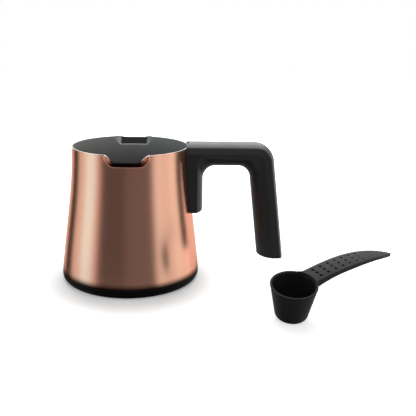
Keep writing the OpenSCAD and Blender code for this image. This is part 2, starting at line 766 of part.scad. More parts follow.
module handle_frame() {
    // The block reaches a little past the widest line, into the rounded inner side
    sides = concat(
        [[arch_start, leg_low], [leg_x + lap, leg_low]],
        [for (a = [180:-90 / bend_steps:90]) left_station(a)[2] - lap * [cos(a), sin(a)]],
        [[leg_x + left_seam_r, seam_z], [arch_start, seam_z]]
    );
    color("#161616") difference() {
        union() {
            loft([for (s = frame_line) [belly_section(s, 0), belly_section(s, mould_t)]]);
            difference() {
                translate([0, handle_half, 0]) rotate([90, 0, 0]) linear_extrude(2 * handle_half) polygon(sides);
                // The block's hollow, open upwards under the cover and inwards to the leg's rounding
                translate([arch_start - over, mould_t - handle_half, leg_low + mould_t])
                    cube([leg_x + left_seam_r - arch_start + 2 * over, 2 * (handle_half - mould_t), pot_h]);
            }
            // The leg's closed lower end
            translate([leg_x, 0, leg_low]) linear_extrude(mould_t) polygon([
                for (a = [-90:180 / ring_steps:90])
                    [(leg_round - 0.2) * pow(cos(a), 2), (handle_half - 0.2) * sin(a)]
            ]);
            // The pillar under the bracket's lower tongue and the web above its upper one
            translate([handle_screw_x, 0, leg_low]) cylinder(r = tongue_half, h = bracket_low - leg_low, $fn = 48);
            translate([arch_start, -handle_half + mould_t - 0.2, bracket_high])
                cube([tongue_x + 1 - arch_start, 2 * (handle_half - mould_t + 0.2), web_t]);
        }
        pot_space(rest_gap);
        translate([handle_screw_x, 0, leg_low - over]) {
            cylinder(r = screw_r + seat_gap, h = pot_h, $fn = 32);
            cylinder(r = screw_head_r + seat_gap, h = handle_head_z - leg_low + screw_head_h + over, $fn = 32);
        }
    }
}

module handle_cover() {
    color("#161616") difference() {
        loft([for (s = cover_line) [cap_section(s, 0), cap_section(s, mould_t)]]);
        pot_space(rest_gap);
    }
}

module handle_screws() {
    color("silver") {
        translate([handle_screw_x, 0, handle_head_z]) screw(bracket_low + bracket_t + 2 - handle_head_z);
        translate([handle_screw_x, 0, bracket_high + web_t + screw_head_h]) mirror([0, 0, 1])
            screw(screw_head_h + web_t + bracket_t + 2);
    }
}

module grip_cap() {
    s = frame_line[len(frame_line) - 1];
    t = cover_line[len(cover_line) - 1];
    inset = mould_t + seat_gap;
    color("#161616") loft([
        for (k = [1, 0])
            let (shift = -k * cap_h * grip_dir)
            [belly_section(moved(s, shift), inset), cap_section(moved(t, shift), inset)]
    ]);
}

function moved(s, shift) = [for (p = s) p + shift];

module spoon_bowl() {
    lean = 12;
    hollow_edge = bowl_edge_r - 0.6;
    lip = 0.2;
    difference() {
        revolve(concat(
            [[0, 0]],
            arc([bowl_foot_r, bowl_edge_r], bowl_edge_r, -90, -lean, 6),
            [[bowl_r - lip, bowl_h - 3 * lip], [bowl_r, bowl_h - 2 * lip], [bowl_r, bowl_h - lip / 2],
                [bowl_r - lip / 2, bowl_h], [0, bowl_h]]
        ));
        revolve(concat(
            [[0, bowl_t]],
            arc([bowl_foot_r - 0.6, bowl_t + hollow_edge], hollow_edge, -90, -lean, 6),
            [[bowl_r - bowl_t, bowl_h + over], [0, bowl_h + over]]
        ));
    }
}

module spoon() {
    color("#1c1c1c") translate([spoon_x, spoon_y, spoon_rise]) rotate([spoon_lean, 0, 0]) {
        spoon_bowl();
        rotate(spoon_turn) difference() {
            loft([for (s = spoon_stations) spoon_ring(s)]);
            translate([0, 0, -over]) cylinder(r = bowl_r - bowl_t, h = bowl_h + 3 * over);
            for (i = [0:6], k = [-1:1])
                let (s = dimple_start + i * dimple_step, r = dimple_r * (1 - 0.07 * i))
                translate([s, k * dimple_row, spoon_top(s) + 0.4 * r]) sphere(r = r, $fn = 20);
        }
    }
}

pot_wall();
pot_floor();
heat_plate();
heating_element();
element_tabs();
plate_studs();
base_shoe();
shoe_seal();
shoe_screws();
control_body();
centre_contact();
ring_contacts();
lead_straps();
guide_plate();
trip_pin();
disc_carrier();
snap_disc();
switch_leaf();
leaf_terminal();
fixed_contact();
handle_bracket();
handle_frame();
handle_cover();
handle_screws();
grip_cap();
spoon();
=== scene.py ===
"""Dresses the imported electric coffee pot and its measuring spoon.

The pot's wall, the handle's mouldings and the spoon are built here as surfaces, from a few
named sizes in metres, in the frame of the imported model. The floor, the shoe and the pieces
inside the base keep their solids and get a finish. Each group of pieces has an operator, and
the panel in the 3D view's sidebar lists the operators and the settings.
"""

import math

import bpy
import numpy as np
from mathutils import Euler, Matrix


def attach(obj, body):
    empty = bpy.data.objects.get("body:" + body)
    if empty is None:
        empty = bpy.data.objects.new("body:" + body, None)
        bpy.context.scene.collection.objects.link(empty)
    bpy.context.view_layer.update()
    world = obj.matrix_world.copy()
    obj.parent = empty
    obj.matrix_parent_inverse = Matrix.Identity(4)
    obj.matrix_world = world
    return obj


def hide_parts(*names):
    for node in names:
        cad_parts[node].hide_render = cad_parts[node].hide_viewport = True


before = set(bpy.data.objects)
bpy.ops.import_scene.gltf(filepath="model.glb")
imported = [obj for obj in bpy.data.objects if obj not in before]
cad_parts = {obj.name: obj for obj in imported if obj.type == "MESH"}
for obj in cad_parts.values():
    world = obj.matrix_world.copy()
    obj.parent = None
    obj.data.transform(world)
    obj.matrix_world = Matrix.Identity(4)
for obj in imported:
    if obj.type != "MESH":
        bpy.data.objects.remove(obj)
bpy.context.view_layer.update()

bl_info = {
    "name": "Electric coffee pot",
    "version": (1, 0, 0),
    "blender": (4, 5, 0),
    "location": "View3D > Sidebar > Coffee Pot",
    "description": "Builds the looks of an electric coffee pot and its measuring spoon",
    "category": "Object",
}

MM = 0.001
RIGHT_ANGLE = math.pi / 2
# Factors that turn over the sign of X or Y
MIRROR_X, MIRROR_Y = np.array([-1, 1, 1]), np.array([1, -1, 1])


# Settings


def length(name, text, default):
    """A length property, given in millimetres and kept in metres."""
    return bpy.props.FloatProperty(
        name=name, description=text, default=default * MM, unit="LENGTH", precision=5
    )


def turn(name, text, default):
    """An angle property, given in degrees."""
    default = math.radians(default)
    return bpy.props.FloatProperty(
        name=name, description=text, default=default, subtype="ANGLE", unit="ROTATION"
    )


def shade(name, text, default):
    """A colour property, given as a hex string in sRGB and kept linear."""
    default = linear(default)[:3]
    return bpy.props.FloatVectorProperty(
        name=name, description=text, default=default, size=3, subtype="COLOR", min=0.0, max=1.0
    )


def linear(code):
    """Turns a hex colour in sRGB into the linear colour that a shader takes."""
    values = [int(code[i : i + 2], 16) / 255 for i in (1, 3, 5)]
    values = [v / 12.92 if v <= 0.04045 else ((v + 0.055) / 1.055) ** 2.4 for v in values]
    return (*values, 1.0)


class PotSettings(bpy.types.PropertyGroup):
    """Sizes of the pot's wall and spouts."""

    height: length("Height", "Height of the rim above the surface", 99)
    rim_radius: length("Rim radius", "Outer radius of the rim", 42)
    belly_radius: length("Belly radius", "Outer radius above the rounded lower edge", 50.4)
    edge_radius: length("Edge radius", "Radius of the rounded lower edge", 4.5)
    wall: length("Wall", "Thickness of the metal wall", 0.8)
    wall_low: length("Wall's lower edge", "Height at which the black shoe begins", 6.5)
    lip_out: length("Lip reach", "How far each lip stands out from the rim", 9.4)
    lip_drop: length("Lip drop", "How far each lip lies below the rim", 2.5)
    lip_half: length("Lip half width", "Half the straight width of the lip", 8)
    notch_half: length("Notch half width", "Half the width of the notch at the rim", 15.6)
    trough_depth: length("Trough depth", "Depth of the trough where it leaves the wall", 6.9)
    trough_half: length("Trough half width", "Half the width of the trough's flat bottom", 8.8)
    trough_corner: length("Trough corner", "Radius of the trough's lower corners", 4.75)
    crease: length("Crease", "Length of the bend under the trough's middle", 0.6)
    crease_side: length("Side crease", "Length of the bend at the trough's sides, by the rim", 2.2)
    bare: length("Bare edge", "How far from the rim the lips' cut edge still shines", 3)


class HandleSettings(bpy.types.PropertyGroup):
    """Sizes of the arched handle."""

    seam: length("Seam height", "Height of the widest line along the beam", 94.8)
    half: length("Half width", "Half the width of the handle at its widest line", 13.2)
    bevel_beam: length("Beam bevel", "Distance from the widest line to the crown's edge", 4.3)
    bevel_grip: length("Grip bevel", "The same distance at the end of the grip", 5.7)
    crown_half: length("Crown half width", "Half the width of the crowned face", 12)
    crown_rise: length("Crown rise", "Rise of the crowned face above its edges", 2.8)
    crown_low: length("Grip crown rise", "The same rise at the end of the grip", 2.4)
    belly_beam: length("Beam belly", "Depth of the rounded inner side along the beam", 10)
    belly_grip: length("Grip belly", "Depth of the rounded inner side along the grip", 9.5)
    leg_x: length("Leg edge", "Distance of the leg's front edge from the pot's axis", 48.34)
    leg_round: length("Leg rounding", "Depth of the rounding on the leg's inner side", 4.5)
    leg_low: length("Leg end", "Height of the leg's lower end", 51.5)
    leg_bend: length("Leg bend", "Radius of the widest line over the leg", 6)
    screw_x: length("Screw", "Distance from the pot's axis to the screw in the leg", 47.89)
    screw_hole: length("Screw hole", "Radius of the counterbore in the leg's lower end", 2.2)
    grip_x: length("Grip line", "Distance of the grip's widest line from the axis, at its top", 97.24)
    lean: turn("Grip lean", "Lean of the grip away from upright", 6.8)
    grip_low: length("Grip end", "Height of the grip's lower end", 16.8)
    end_tilt: turn("End tilt", "Tilt of the grip's end, lower on the outer side", 3.5)
    corner: length("Corner radius", "Radius of the widest line at the outer corner", 7.1)
    inner: length("Inner radius", "Radius of the inner corners", 9.6)
    mould: length("Moulding", "Thickness of the handle's mouldings", 2.4)
    gap: length("Wall gap", "Gap between the handle and the pot's wall", 0.15)
    cap: length("Cap", "Thickness of the plug in the grip's lower end", 3)
    cap_gap: length("Cap gap", "Gap round the plug", 0.1)


class SpoonSettings(bpy.types.PropertyGroup):
    """Sizes and place of the measuring spoon."""

    bowl_radius: length("Bowl radius", "Outer radius of the bowl's rim", 15.4)
    bowl_height: length("Bowl height", "Height of the bowl", 24)
    foot_radius: length("Foot radius", "Radius of the bowl's flat bottom", 8.2)
    edge_radius: length("Edge radius", "Radius of the bowl's lower edge", 2.8)
    wall: length("Wall", "Thickness of the bowl's wall", 1.4)
    reach: length("Reach", "Distance of the handle's tip from the bowl's axis", 101.5)
    straight: length("Straight part", "Distance at which the handle starts to narrow", 46)
    half: length("Half width", "Half the width of the handle", 7.4)
    fillet: length("Fillet", "Radius where the handle leaves the bowl", 4)
    thick: length("Thickness", "Thickness of the handle", 3.3)
    root_thick: length("Root thickness", "Thickness of the handle at the bowl", 4.9)
    tip_thick: length("Tip thickness", "Thickness of the handle at its tip", 2.2)
    drop: length("Drop", "Drop of the handle from the rim to its tip", 15.8)
    dimple_start: length("First dimple", "Distance of the first dimple from the bowl's axis", 20.9)
    dimple_step: length("Dimple step", "Spacing of the dimples along the handle", 7.1)
    dimple_row: length("Dimple row", "Spacing of the dimples across the handle", 3.75)
    dimple_radius: length("Dimple radius", "Radius of the largest dimple", 1.2)
    turn: turn("Turn", "Direction of the handle in plan, from +X towards +Y", 35.8)
    lean: turn("Lean", "Lean of the spoon towards the front", 13.7)
    x: length("X", "Place of the bowl along X", 108.2)
    y: length("Y", "Place of the bowl along Y", -78.4)


class LookSettings(bpy.types.PropertyGroup):
    """Colours of the finishes."""

    copper: shade("Copper", "Satin copper coat", "#F0B59D")
    coating: shade("Coating", "Grey coat inside the pot", "#828282")
    cut_edge: shade("Cut edge", "Bare steel at the rim", "#BDBAB6")
    handle: shade("Handle", "Black polypropylene of the handle", "#1E1E1E")
    spoon: shade("Spoon", "Black polypropylene of the spoon", "#1C1C1C")
    shoe: shade("Shoe", "Black polypropylene of the shoe", "#070707")
    seal: shade("Seal", "Silicone rubber of the seal", "#101010")
    ceramic: shade("Ceramic", "Fired steatite in the switch", "#DAD6CB")
    aluminium: shade("Aluminium", "Cast aluminium of the heat plate", "#C9CACC")
    steel: shade("Steel", "Plain steel of the screws and the element", "#A9A9AB")
    brass: shade("Brass", "Pressed brass of the contacts", "#D8B56A")
    floor: shade("Floor", "Studio floor", "#F4F4F4")


SETTINGS = {
    "coffee_pot_body": PotSettings,
    "coffee_pot_handle": HandleSettings,
    "coffee_pot_spoon": SpoonSettings,
    "coffee_pot_looks": LookSettings,
}


# Surfaces


def surface(name, grids, finishes, body, replaced, sharp=40):
    """Makes one object from grids of points.

    Each grid is (points, wraps across, wraps along, index of its finish). Points have the
    shape rows, columns, 3. A face joins each point to its neighbours, with its outer side
    where columns turn to rows by the right-hand rule. Edges sharper than the given angle in
    degrees stay sharp.
    """
    points, faces, indices, start = [], [], [], 0
    for grid, wrap_columns, wrap_rows, finish in grids:
        rows, columns = grid.shape[:2]
        number = start + np.arange(rows * columns).reshape(rows, columns)
        if wrap_columns:
            number = np.concatenate([number, number[:, :1]], 1)
        if wrap_rows:
            number = np.concatenate([number, number[:1]], 0)
        quads = np.stack([number[:-1, :-1], number[:-1, 1:], number[1:, 1:], number[1:, :-1]], -1)
        faces.append(quads.reshape(-1, 4))
        indices.append(np.broadcast_to(finish, quads.shape[:2]).reshape(-1))
        points.append(grid.reshape(-1, 3))
        start += rows * columns
    faces, points = joined(np.concatenate(points), np.concatenate(faces))
    fresh = faces != np.roll(faces, 1, 1)
    kept = fresh.sum(1) > 2
    faces, fresh, indices = faces[kept], fresh[kept], np.concatenate(indices)[kept]
    counts = fresh.sum(1)
    mesh = bpy.data.meshes.new(name)
    mesh.vertices.add(len(points))
    mesh.vertices.foreach_set("co", points.astype(np.float32).ravel())
    mesh.loops.add(int(counts.sum()))
    mesh.loops.foreach_set("vertex_index", faces[fresh].astype(np.int32))
    mesh.polygons.add(len(faces))
    mesh.polygons.foreach_set("loop_start", (np.cumsum(counts) - counts).astype(np.int32))
    mesh.polygons.foreach_set("material_index", indices.astype(np.int32))
    mesh.update(calc_edges=True)
    mesh.validate()
    mesh.polygons.foreach_set("use_smooth", np.ones(len(mesh.polygons), bool))
    mesh.set_sharp_from_angle(angle=math.radians(sharp))
    for finish in finishes:
        mesh.materials.append(finish)
    piece = bpy.data.objects.new(name, mesh)
    bpy.context.scene.collection.objects.link(piece)
    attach(piece, body)
    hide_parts(*replaced)


def joined(points, faces):
    """Joins the points that share a place, to a thousandth of a millimetre, so that poles and
    the seams between grids are closed."""
    keys = np.round(points / (0.001 * MM)).astype(np.int64)
    _, first, number = np.unique(keys, axis=0, return_index=True, return_inverse=True)
    return number.reshape(-1)[faces], points[first]


def revolved(profile, turns):
    """Turns a closed profile of (radius, height) round the Z axis, outer side outwards when
    the profile runs upwards on its outer side."""
    angle = np.linspace(0, 2 * math.pi, turns, endpoint=False)
    radius, height = profile[:, :1], profile[:, 1:]
    return placed(radius * np.cos(angle), radius * np.sin(angle), height)


def arc(centre, radius, start, stop, steps):
    """Points on an arc, from one angle in degrees to another."""
    angle = np.radians(np.linspace(start, stop, steps + 1))
    return np.asarray(centre) + radius * np.stack([np.cos(angle), np.sin(angle)], -1)


def between(a, b, t):
    """Straight blend from a to b."""
    return a + (b - a) * t


def bezier(a, b, c, t):
    """Curve that leaves a towards b and reaches c from b."""
    return between(between(a, b, t), between(b, c, t), t)


def smooth(t):
    """Rises from nought to one with level ends."""
    t = np.clip(t, 0, 1)
    return t * t * (3 - 2 * t)


def size_of(vectors):
    """Length of each vector, kept as a column."""
    return np.linalg.norm(vectors, axis=-1, keepdims=True)


def unit(vectors):
    """Vectors of length one, and nought where there is no direction."""
    return vectors / np.maximum(size_of(vectors), 1e-9)


def placed(x, y, z):
    """Points from their coordinates, which are spread over one another's shapes."""
    return np.stack(np.broadcast_arrays(x, y, z), -1)


# Pot

WAVE_START = 0.25  # where the wave starts after its crest, as a share of the wall's height
SPOUT_STEPS = (12, 20, 20)  # columns along half the trough's floor, its corner and its side
PLAIN_COLUMNS, PLAIN_ROWS, EDGE_ROWS = 40, 48, 8  # beside a spout, up the wall and over its edge
UPPER_ROWS = (2, 9, 9)  # rows up to the crease, round it and along the trough
# Ends of the lip's curve: how far its tangents reach, as shares of its width, reach and drop
LIP_LEAVES, LIP_MEETS = np.array([0.28, 0, 0.24]), np.array([-0.48, -0.28, 0.2])


def skin_radius(z, pot):
    """Outer radius of the wall at height z: half a cosine wave from the belly to the rim,
    which starts a little after its crest."""

    def wave(t):
        return np.cos(math.pi * (t + WAVE_START) / (1 + WAVE_START)) + 1

    t = (z - pot.edge_radius) / (pot.height - pot.edge_radius)
    return pot.rim_radius + (pot.belly_radius - pot.rim_radius) * wave(t) / wave(0)


def on_wall(azimuth, z, inset, pot):
    """Point of the wall at an azimuth and a height, inset from its outer skin."""
    radius = skin_radius(z, pot) - inset
    return placed(radius * np.cos(azimuth), radius * np.sin(azimuth), z)


def spout_columns(pot):
    """Half of a spout, from its middle to the notch's edge. The root is the trough's outline
    on the wall: level, an arc round the lower corner, and a straight side up to the rim. The
    lip is straight in front, and then a cubic curve that rises and runs back to the rim.
    Returns both lines, the outline's outward normal, the share of the trough's thickness and
    the length of the bend along the crease."""
    level, rounded, straight = SPOUT_STEPS
    at_side = level + rounded
    column = np.arange(at_side + straight + 1)
    low, edge = -pot.trough_depth, np.array([pot.notch_half, 0.0])
    corner = np.array([pot.trough_half, low + pot.trough_corner])
    way = edge - corner
    lean = math.atan2(way[0], way[1]) - math.asin(pot.trough_corner / math.hypot(*way))
    flat = np.linspace([0, low], [pot.trough_half, low], level + 1)[:-1]
    round_corner = arc(corner, pot.trough_corner, -90, -math.degrees(lean), rounded)
    side = np.linspace(round_corner[-1], edge, straight + 1)[1:]
    outline = np.concatenate([flat, round_corner, side])
    angle = np.interp(column, [level, at_side], [-RIGHT_ANGLE, -lean])
    out = placed(np.cos(angle), 0, np.sin(angle))
    z = pot.height + outline[:, 1]
    y = -np.sqrt((skin_radius(z, pot) - pot.wall / 2) ** 2 - outline[:, 0] ** 2)
    root = placed(outline[:, 0], y, z)

    end = root[-1]
    spans = np.array([pot.notch_half - pot.lip_half, pot.lip_out, pot.lip_drop])
    tip = np.array([pot.lip_half, -(pot.rim_radius + pot.lip_out), pot.height - pot.lip_drop])
    leave, meet = tip + LIP_LEAVES * spans, end + LIP_MEETS * spans
    t = np.linspace(0, 1, rounded + straight + 1)[:, None]
    curve = between(bezier(tip, leave, meet, t), bezier(leave, meet, end, t), t)
    lip = np.concatenate([np.linspace(tip * [0, 1, 1], tip, level + 1)[:-1], curve])
    climb = np.interp(column, [at_side, column[-1]], [0, 1])
    thick_to = 0.55
    share = 1 - smooth((climb - thick_to) / (1 - thick_to))
    return root, lip, out, share, between(pot.crease, pot.crease_side, smooth(climb))


def pot_columns(pot):
    """Columns of the whole wall, anticlockwise from the front: the crease and the edge of the
    outer skin, the same for the inner skin, the way that the edge's rounding points, and the
    length of the bend. A quarter is worked out and mirrored twice. The plain columns stand
    closer together by the spout."""
    root, lip, out, share, bend = spout_columns(pot)
    first, crowding = math.atan2(root[-1, 1], root[-1, 0]), 1.25
    azimuth = first * (1 - np.linspace(0, 1, PLAIN_COLUMNS + 1)[1:] ** crowding)
    plain = on_wall(azimuth, pot.height, pot.wall / 2, pot)
    root, lip = np.concatenate([root, plain]), np.concatenate([lip, plain])
    out = np.concatenate([out, np.repeat(out[-1:], len(plain), 0)])
    share, bend = (np.pad(line, (0, len(plain))) for line in (share, bend))

    def at_radius(points, radius):
        turned = unit(points[:, :2]) * radius[:, None]
        return np.concatenate([turned, points[:, 2:]], 1)

    def reach(points):
        return np.linalg.norm(points[:, :2], axis=1)

    below = out * (pot.wall * share)[:, None]
    low_root, low_lip = root + below, lip + below
    outer_root = at_radius(low_root, skin_radius(low_root[:, 2], pot))
    inner_root = at_radius(root, skin_radius(root[:, 2], pot) - pot.wall)
    outer_lip = at_radius(low_lip, between(pot.rim_radius, reach(low_lip), share))
    inner_lip = at_radius(lip, between(pot.rim_radius - pot.wall, reach(lip), share))
    run, level_from = inner_lip - inner_root, 6 * MM
    weight = smooth(size_of(run) / level_from)
    point_out = unit(unit(run) * weight + np.array([0, 0, 1]) * (1 - weight))
    bends = np.repeat(bend[:, None], 3, 1)
    quarter = np.stack([outer_root, outer_lip, inner_root, inner_lip, point_out, bends], 1)
    half = np.concatenate([quarter, (quarter * MIRROR_Y)[::-1][1:]])
    whole = np.concatenate([half, (half * MIRROR_X)[::-1][1:-1]])
    return whole.transpose(1, 0, 2)


def wall_rows(root, lip, bend, inset, pot):
    """Rows of one skin from its lower edge to its rim or lip, by the distance travelled: up
    the wall, round the crease on a quadratic curve, and straight out along the trough. Where
    there is no trough, the last rows lie on the wall's top instead."""
    least, blend, most_bend = 2.5 * MM, 4 * MM, 0.45
    run = lip - root
    size = np.linalg.norm(run, axis=1)
    azimuth = np.arctan2(root[:, 1], root[:, 0])
    bend = np.minimum(bend, most_bend * size)
    rise = bend + np.maximum(0, least - size)
    total, share = rise + size, smooth(size / blend)
    start = root[:, 2] - rise
    height = np.linspace(pot.wall_low, start, PLAIN_ROWS + 1)
    wall = on_wall(azimuth, height, inset, pot)
    # The rows stand at about even steps on a plain wall, and close together round a crease
    early, late = 1 / 9, 5 / 9
    crease_start = between(total * early, rise - bend, share)
    crease_end = between(total * late, rise + bend, share)
    starts, ends = (0 * total, crease_start, crease_end), (crease_start, crease_end, total)
    spans = [np.linspace(a, b, rows + 1)[1:] for a, b, rows in zip(starts, ends, UPPER_ROWS)]
    gone = np.concatenate(spans)
    straight = on_wall(azimuth, np.minimum(start + gone, root[:, 2]), inset, pot)
    before = on_wall(azimuth, root[:, 2] - bend, inset, pot)
    after = root + unit(run) * bend[:, None]
    part = gone - rise
    t = np.clip((part + bend) / np.maximum(2 * bend, 1e-7), 0, 1)[..., None]
    trough = root + unit(run) * part[..., None]
    upper = np.where((part < bend)[..., None], bezier(before, root, after, t), trough)
    plain = (part < -bend) | (size < 1e-6)
    return np.concatenate([wall, np.where(plain[..., None], straight, upper)])


def pot_wall_surface(pot):
    """The wall as one closed sheet: up the outer skin, over the cut edge on half a round, and
    down the inner skin. Finishes: 0 outside, 1 cut edge, 2 inside."""
    outer_root, outer_lip, inner_root, inner_lip, point_out, bends = pot_columns(pot)
    bulge = 0.2 * MM
    outer = wall_rows(outer_root, outer_lip, bends[:, 2], 0, pot)
    inner = wall_rows(inner_root, inner_lip, bends[:, 2], pot.wall, pot)[::-1]
    a, b = outer[-1], inner[0]
    angle = np.linspace(0, math.pi, EDGE_ROWS + 1)[1:-1, None, None]
    edge = (a + b) / 2 + (a - b) / 2 * np.cos(angle) + point_out * bulge * (np.sin(angle) - 1)
    grid = np.concatenate([outer, edge, inner])
    finish = np.full(grid.shape[:2], 2)
    finish[: len(outer) - 1] = 0
    bare = np.linalg.norm(a[:, :2], axis=1) < pot.rim_radius + pot.bare
    finish[len(outer) - 1 : len(outer) + len(edge)] = np.where(bare, 1, 2)
    return grid, finish


# Handle

CORNER_SHARE = 0.6  # share of the bevel's growth that lies in the outer corner
BEAM_STEPS, BEND_STEPS, GRIP_STEPS, LEG_STEPS = 8, 24, 16, 12  # stations along the arch's parts
BELLY_STEPS, LEG_ACROSS = 40, 24  # columns across the inner side and the leg's back
BEVEL_STEPS, SOFT_STEPS, CROWN_STEPS = 4, 5, 24  # columns across a bevel, its curve and the crown


def handle_stations(handle):
    """Lines of the arch in the XZ plane. Each station is the top of the crown, its edge, the
    widest line and the inner line, and the arrays run from the wall to the end of the grip."""
    seam, bevel, rise = handle.seam, handle.bevel_beam, handle.crown_rise
    growth = handle.bevel_grip - bevel
    dip = np.array([math.sin(handle.lean), -math.cos(handle.lean)])
    corner = np.array([handle.grip_x - handle.corner, seam - handle.corner])
    inner = np.array([handle.grip_x - handle.belly_grip, seam - handle.belly_beam]) - handle.inner

    def beam(x):
        return [(x, seam + bevel + rise), (x, seam + bevel), (x, seam), (x, seam - handle.belly_beam)]

    def bend(k):
        angle = between(RIGHT_ANGLE, handle.lean, k)
        way = np.array([math.cos(angle), math.sin(angle)])
        crown = handle.corner + bevel + CORNER_SHARE * growth * k
        reaches = ((corner, crown + rise), (corner, crown), (corner, handle.corner), (inner, handle.inner))
        return [centre + reach * way for centre, reach in reaches]

    top = bend(1)

    def grip(k):
        widen = (1 - CORNER_SHARE) * growth * k
        flatten = (rise - handle.crown_low) * k
        across = (handle.bevel_grip + handle.crown_low, handle.bevel_grip, 0, -handle.belly_grip)
        low = [p[1] - handle.grip_low + a * math.tan(handle.end_tilt) for p, a in zip(top, across)]
        points = [p + dip * k * way / math.cos(handle.lean) for p, way in zip(top, low)]
        return [points[0] + [widen - flatten, 0], points[1] + [widen, 0], points[2], points[3]]

    arch = [bend(k) for k in np.linspace(0, 1, BEND_STEPS + 1)[1:]]
    arch += [grip(k) for k in np.linspace(0, 1, GRIP_STEPS + 1)[1:]]
    return beam, inner, np.array(arch)


def lifted(points, y):
    """Puts points of the XZ plane at a distance y from it."""
    return placed(points[..., 0], y, points[..., 1])


def belly_rings(stations, handle, inset, power=1.0, steps=BELLY_STEPS):
    """The rounded inner side of each station, from the widest line at +Y through the inner
    line to -Y: the half width times the sine of an angle, and the depth times a power of its
    cosine. The power is 1 for half an ellipse and 2 for a parabola."""
    run = stations[:, 3] - stations[:, 2]
    angle = np.linspace(RIGHT_ANGLE, -RIGHT_ANGLE, steps + 1)
    power = np.broadcast_to(power, len(stations))[:, None]
    depth = (size_of(run) - inset) * np.maximum(np.cos(angle), 0) ** power
    line = stations[:, 2][:, None] + unit(run)[:, None] * depth[..., None]
    return lifted(line, (handle.half - inset) * np.sin(angle))


def crown_rings(stations, handle, inset):
    """The bevels and the crown for each station, from the widest line at +Y over the top to
    -Y. The bevel meets the crown on a small curve, and the crown is part of a parabola."""
    way = stations[:, 1] - stations[:, 2]
    up, bevel, crown_rise = unit(way), size_of(way), size_of(stations[:, 0] - stations[:, 1])
    half = handle.crown_half - inset
    soft = 0.7 * MM if inset == 0 else 0.1 * MM
    slope, under = 2 * crown_rise / handle.crown_half, 0.93  # the curve ends just under the slope

    def at(y, height):
        return lifted(stations[:, 2] + up * height, y)[:, None]

    start = at(handle.half - inset, 0)
    edge = at(half, bevel - inset)
    before = between(edge, start, (soft / np.maximum(bevel, 1e-6))[..., None])
    after = at(half - soft, bevel - inset + slope * soft * under)
    rounding = bezier(before, edge, after, np.linspace(0, 1, SOFT_STEPS + 1)[:, None])
    y = np.linspace(half - soft, soft - half, CROWN_STEPS + 1)[1:-1]
    height = bevel - inset + crown_rise * (1 - (y / handle.crown_half) ** 2)
    crown = lifted(stations[:, 2][:, None] + up[:, None] * height[..., None], y)
    side = between(start, before, np.linspace(0, 1, BEVEL_STEPS + 1)[:-1, None])
    first = np.concatenate([side, rounding], 1)
    return np.concatenate([first, crown, (first * MIRROR_Y)[:, ::-1]], 1)


def to_wall(points, pot, handle):
    """Moves points that lie inside the pot's wall out to its skin, along X."""
    x, y, z = np.moveaxis(points, -1, 0)
    radius = skin_radius(np.minimum(z, pot.height), pot) + handle.gap
    return placed(np.maximum(x, np.sqrt(np.maximum(radius**2 - y**2, 0))), y, z)


def shell_grids(outer, inner):
    """A closed shell from two sheets of rings: the outer sheet, the inner one turned over, and
    the strips that join them along their sides and ends."""
    ring = np.concatenate([outer, inner[:, ::-1]], 1)
    start, end = np.stack([inner[0], outer[0]]), np.stack([outer[-1], inner[-1]])
    return [(ring, True, False, 0), (start, False, False, 0), (end, False, False, 0)]


def leg_shell_grids(handle, above, left, straight, arch):
    """The rounded inner side as a shell, from above the leg's sole up and over to the end of
    the grip. It is a parabola along the leg, and turns to half an ellipse round the bend."""
    bend, pivot = handle.leg_bend, leg_pivot(handle)
    angle = np.linspace(math.pi, RIGHT_ANGLE, BEND_STEPS + 1)
    way = np.stack([np.cos(angle), np.sin(angle)], -1)
    outer_line, inner_line = pivot + bend * way, left + handle.inner * way
    none = np.zeros_like(outer_line)
    bends = np.stack([none, none, outer_line, inner_line], 1)
    low = [[0, 0], [0, 0], [handle.leg_x, above], [handle.leg_x + handle.leg_round, above]]
    leg = np.linspace(low, bends[0], LEG_STEPS + 1)[:-1]
    stations = np.concatenate([leg, bends[:-1], straight, arch])
    power = np.interp(np.arange(len(stations)), [len(leg), len(leg) + len(bends) - 1], [2, 1])
    outer, inner = (belly_rings(stations, handle, inset, power)[:, ::-1] for inset in (0, handle.mould))
    return shell_grids(outer, inner)


def leg_pivot(handle):
    """Centre of the bend of the widest line over the leg."""
    return np.array([handle.leg_x + handle.leg_bend, handle.seam - handle.leg_bend])


def leg_block_grids(pot, handle, above):
    """The flat sides that carry the leg back to the wall, and its ends. Each ring runs back
    along the wall, out along one side, across and back. Its front rises straight and then
    leans away from the wall on a quarter of a circle."""
    bend, (_, turn_z) = handle.leg_bend, leg_pivot(handle)
    bow = bend * np.sin(np.linspace(0, RIGHT_ANGLE, GRIP_STEPS + 1)[1:])
    height = np.concatenate([np.linspace(above, turn_z, BEND_STEPS + 1), turn_z + bow])
    past = np.clip((height - turn_z) / bend, 0, 1)[:, None]
    y, z = np.meshgrid(np.linspace(handle.half, -handle.half, LEG_ACROSS + 1), height)
    back = to_wall(placed(0, -y, z), pot, handle)
    face = placed(handle.leg_x + bend * (1 - np.sqrt(1 - past**2)), y, z)
    ring = np.concatenate([back, face], 1)[:, ::-1]
    low, top = (np.stack([back[row], face[row][::-1]]) for row in (0, -1))
    return [(ring, True, False, 0), (low, False, False, 0), (top[::-1], False, False, 0)]


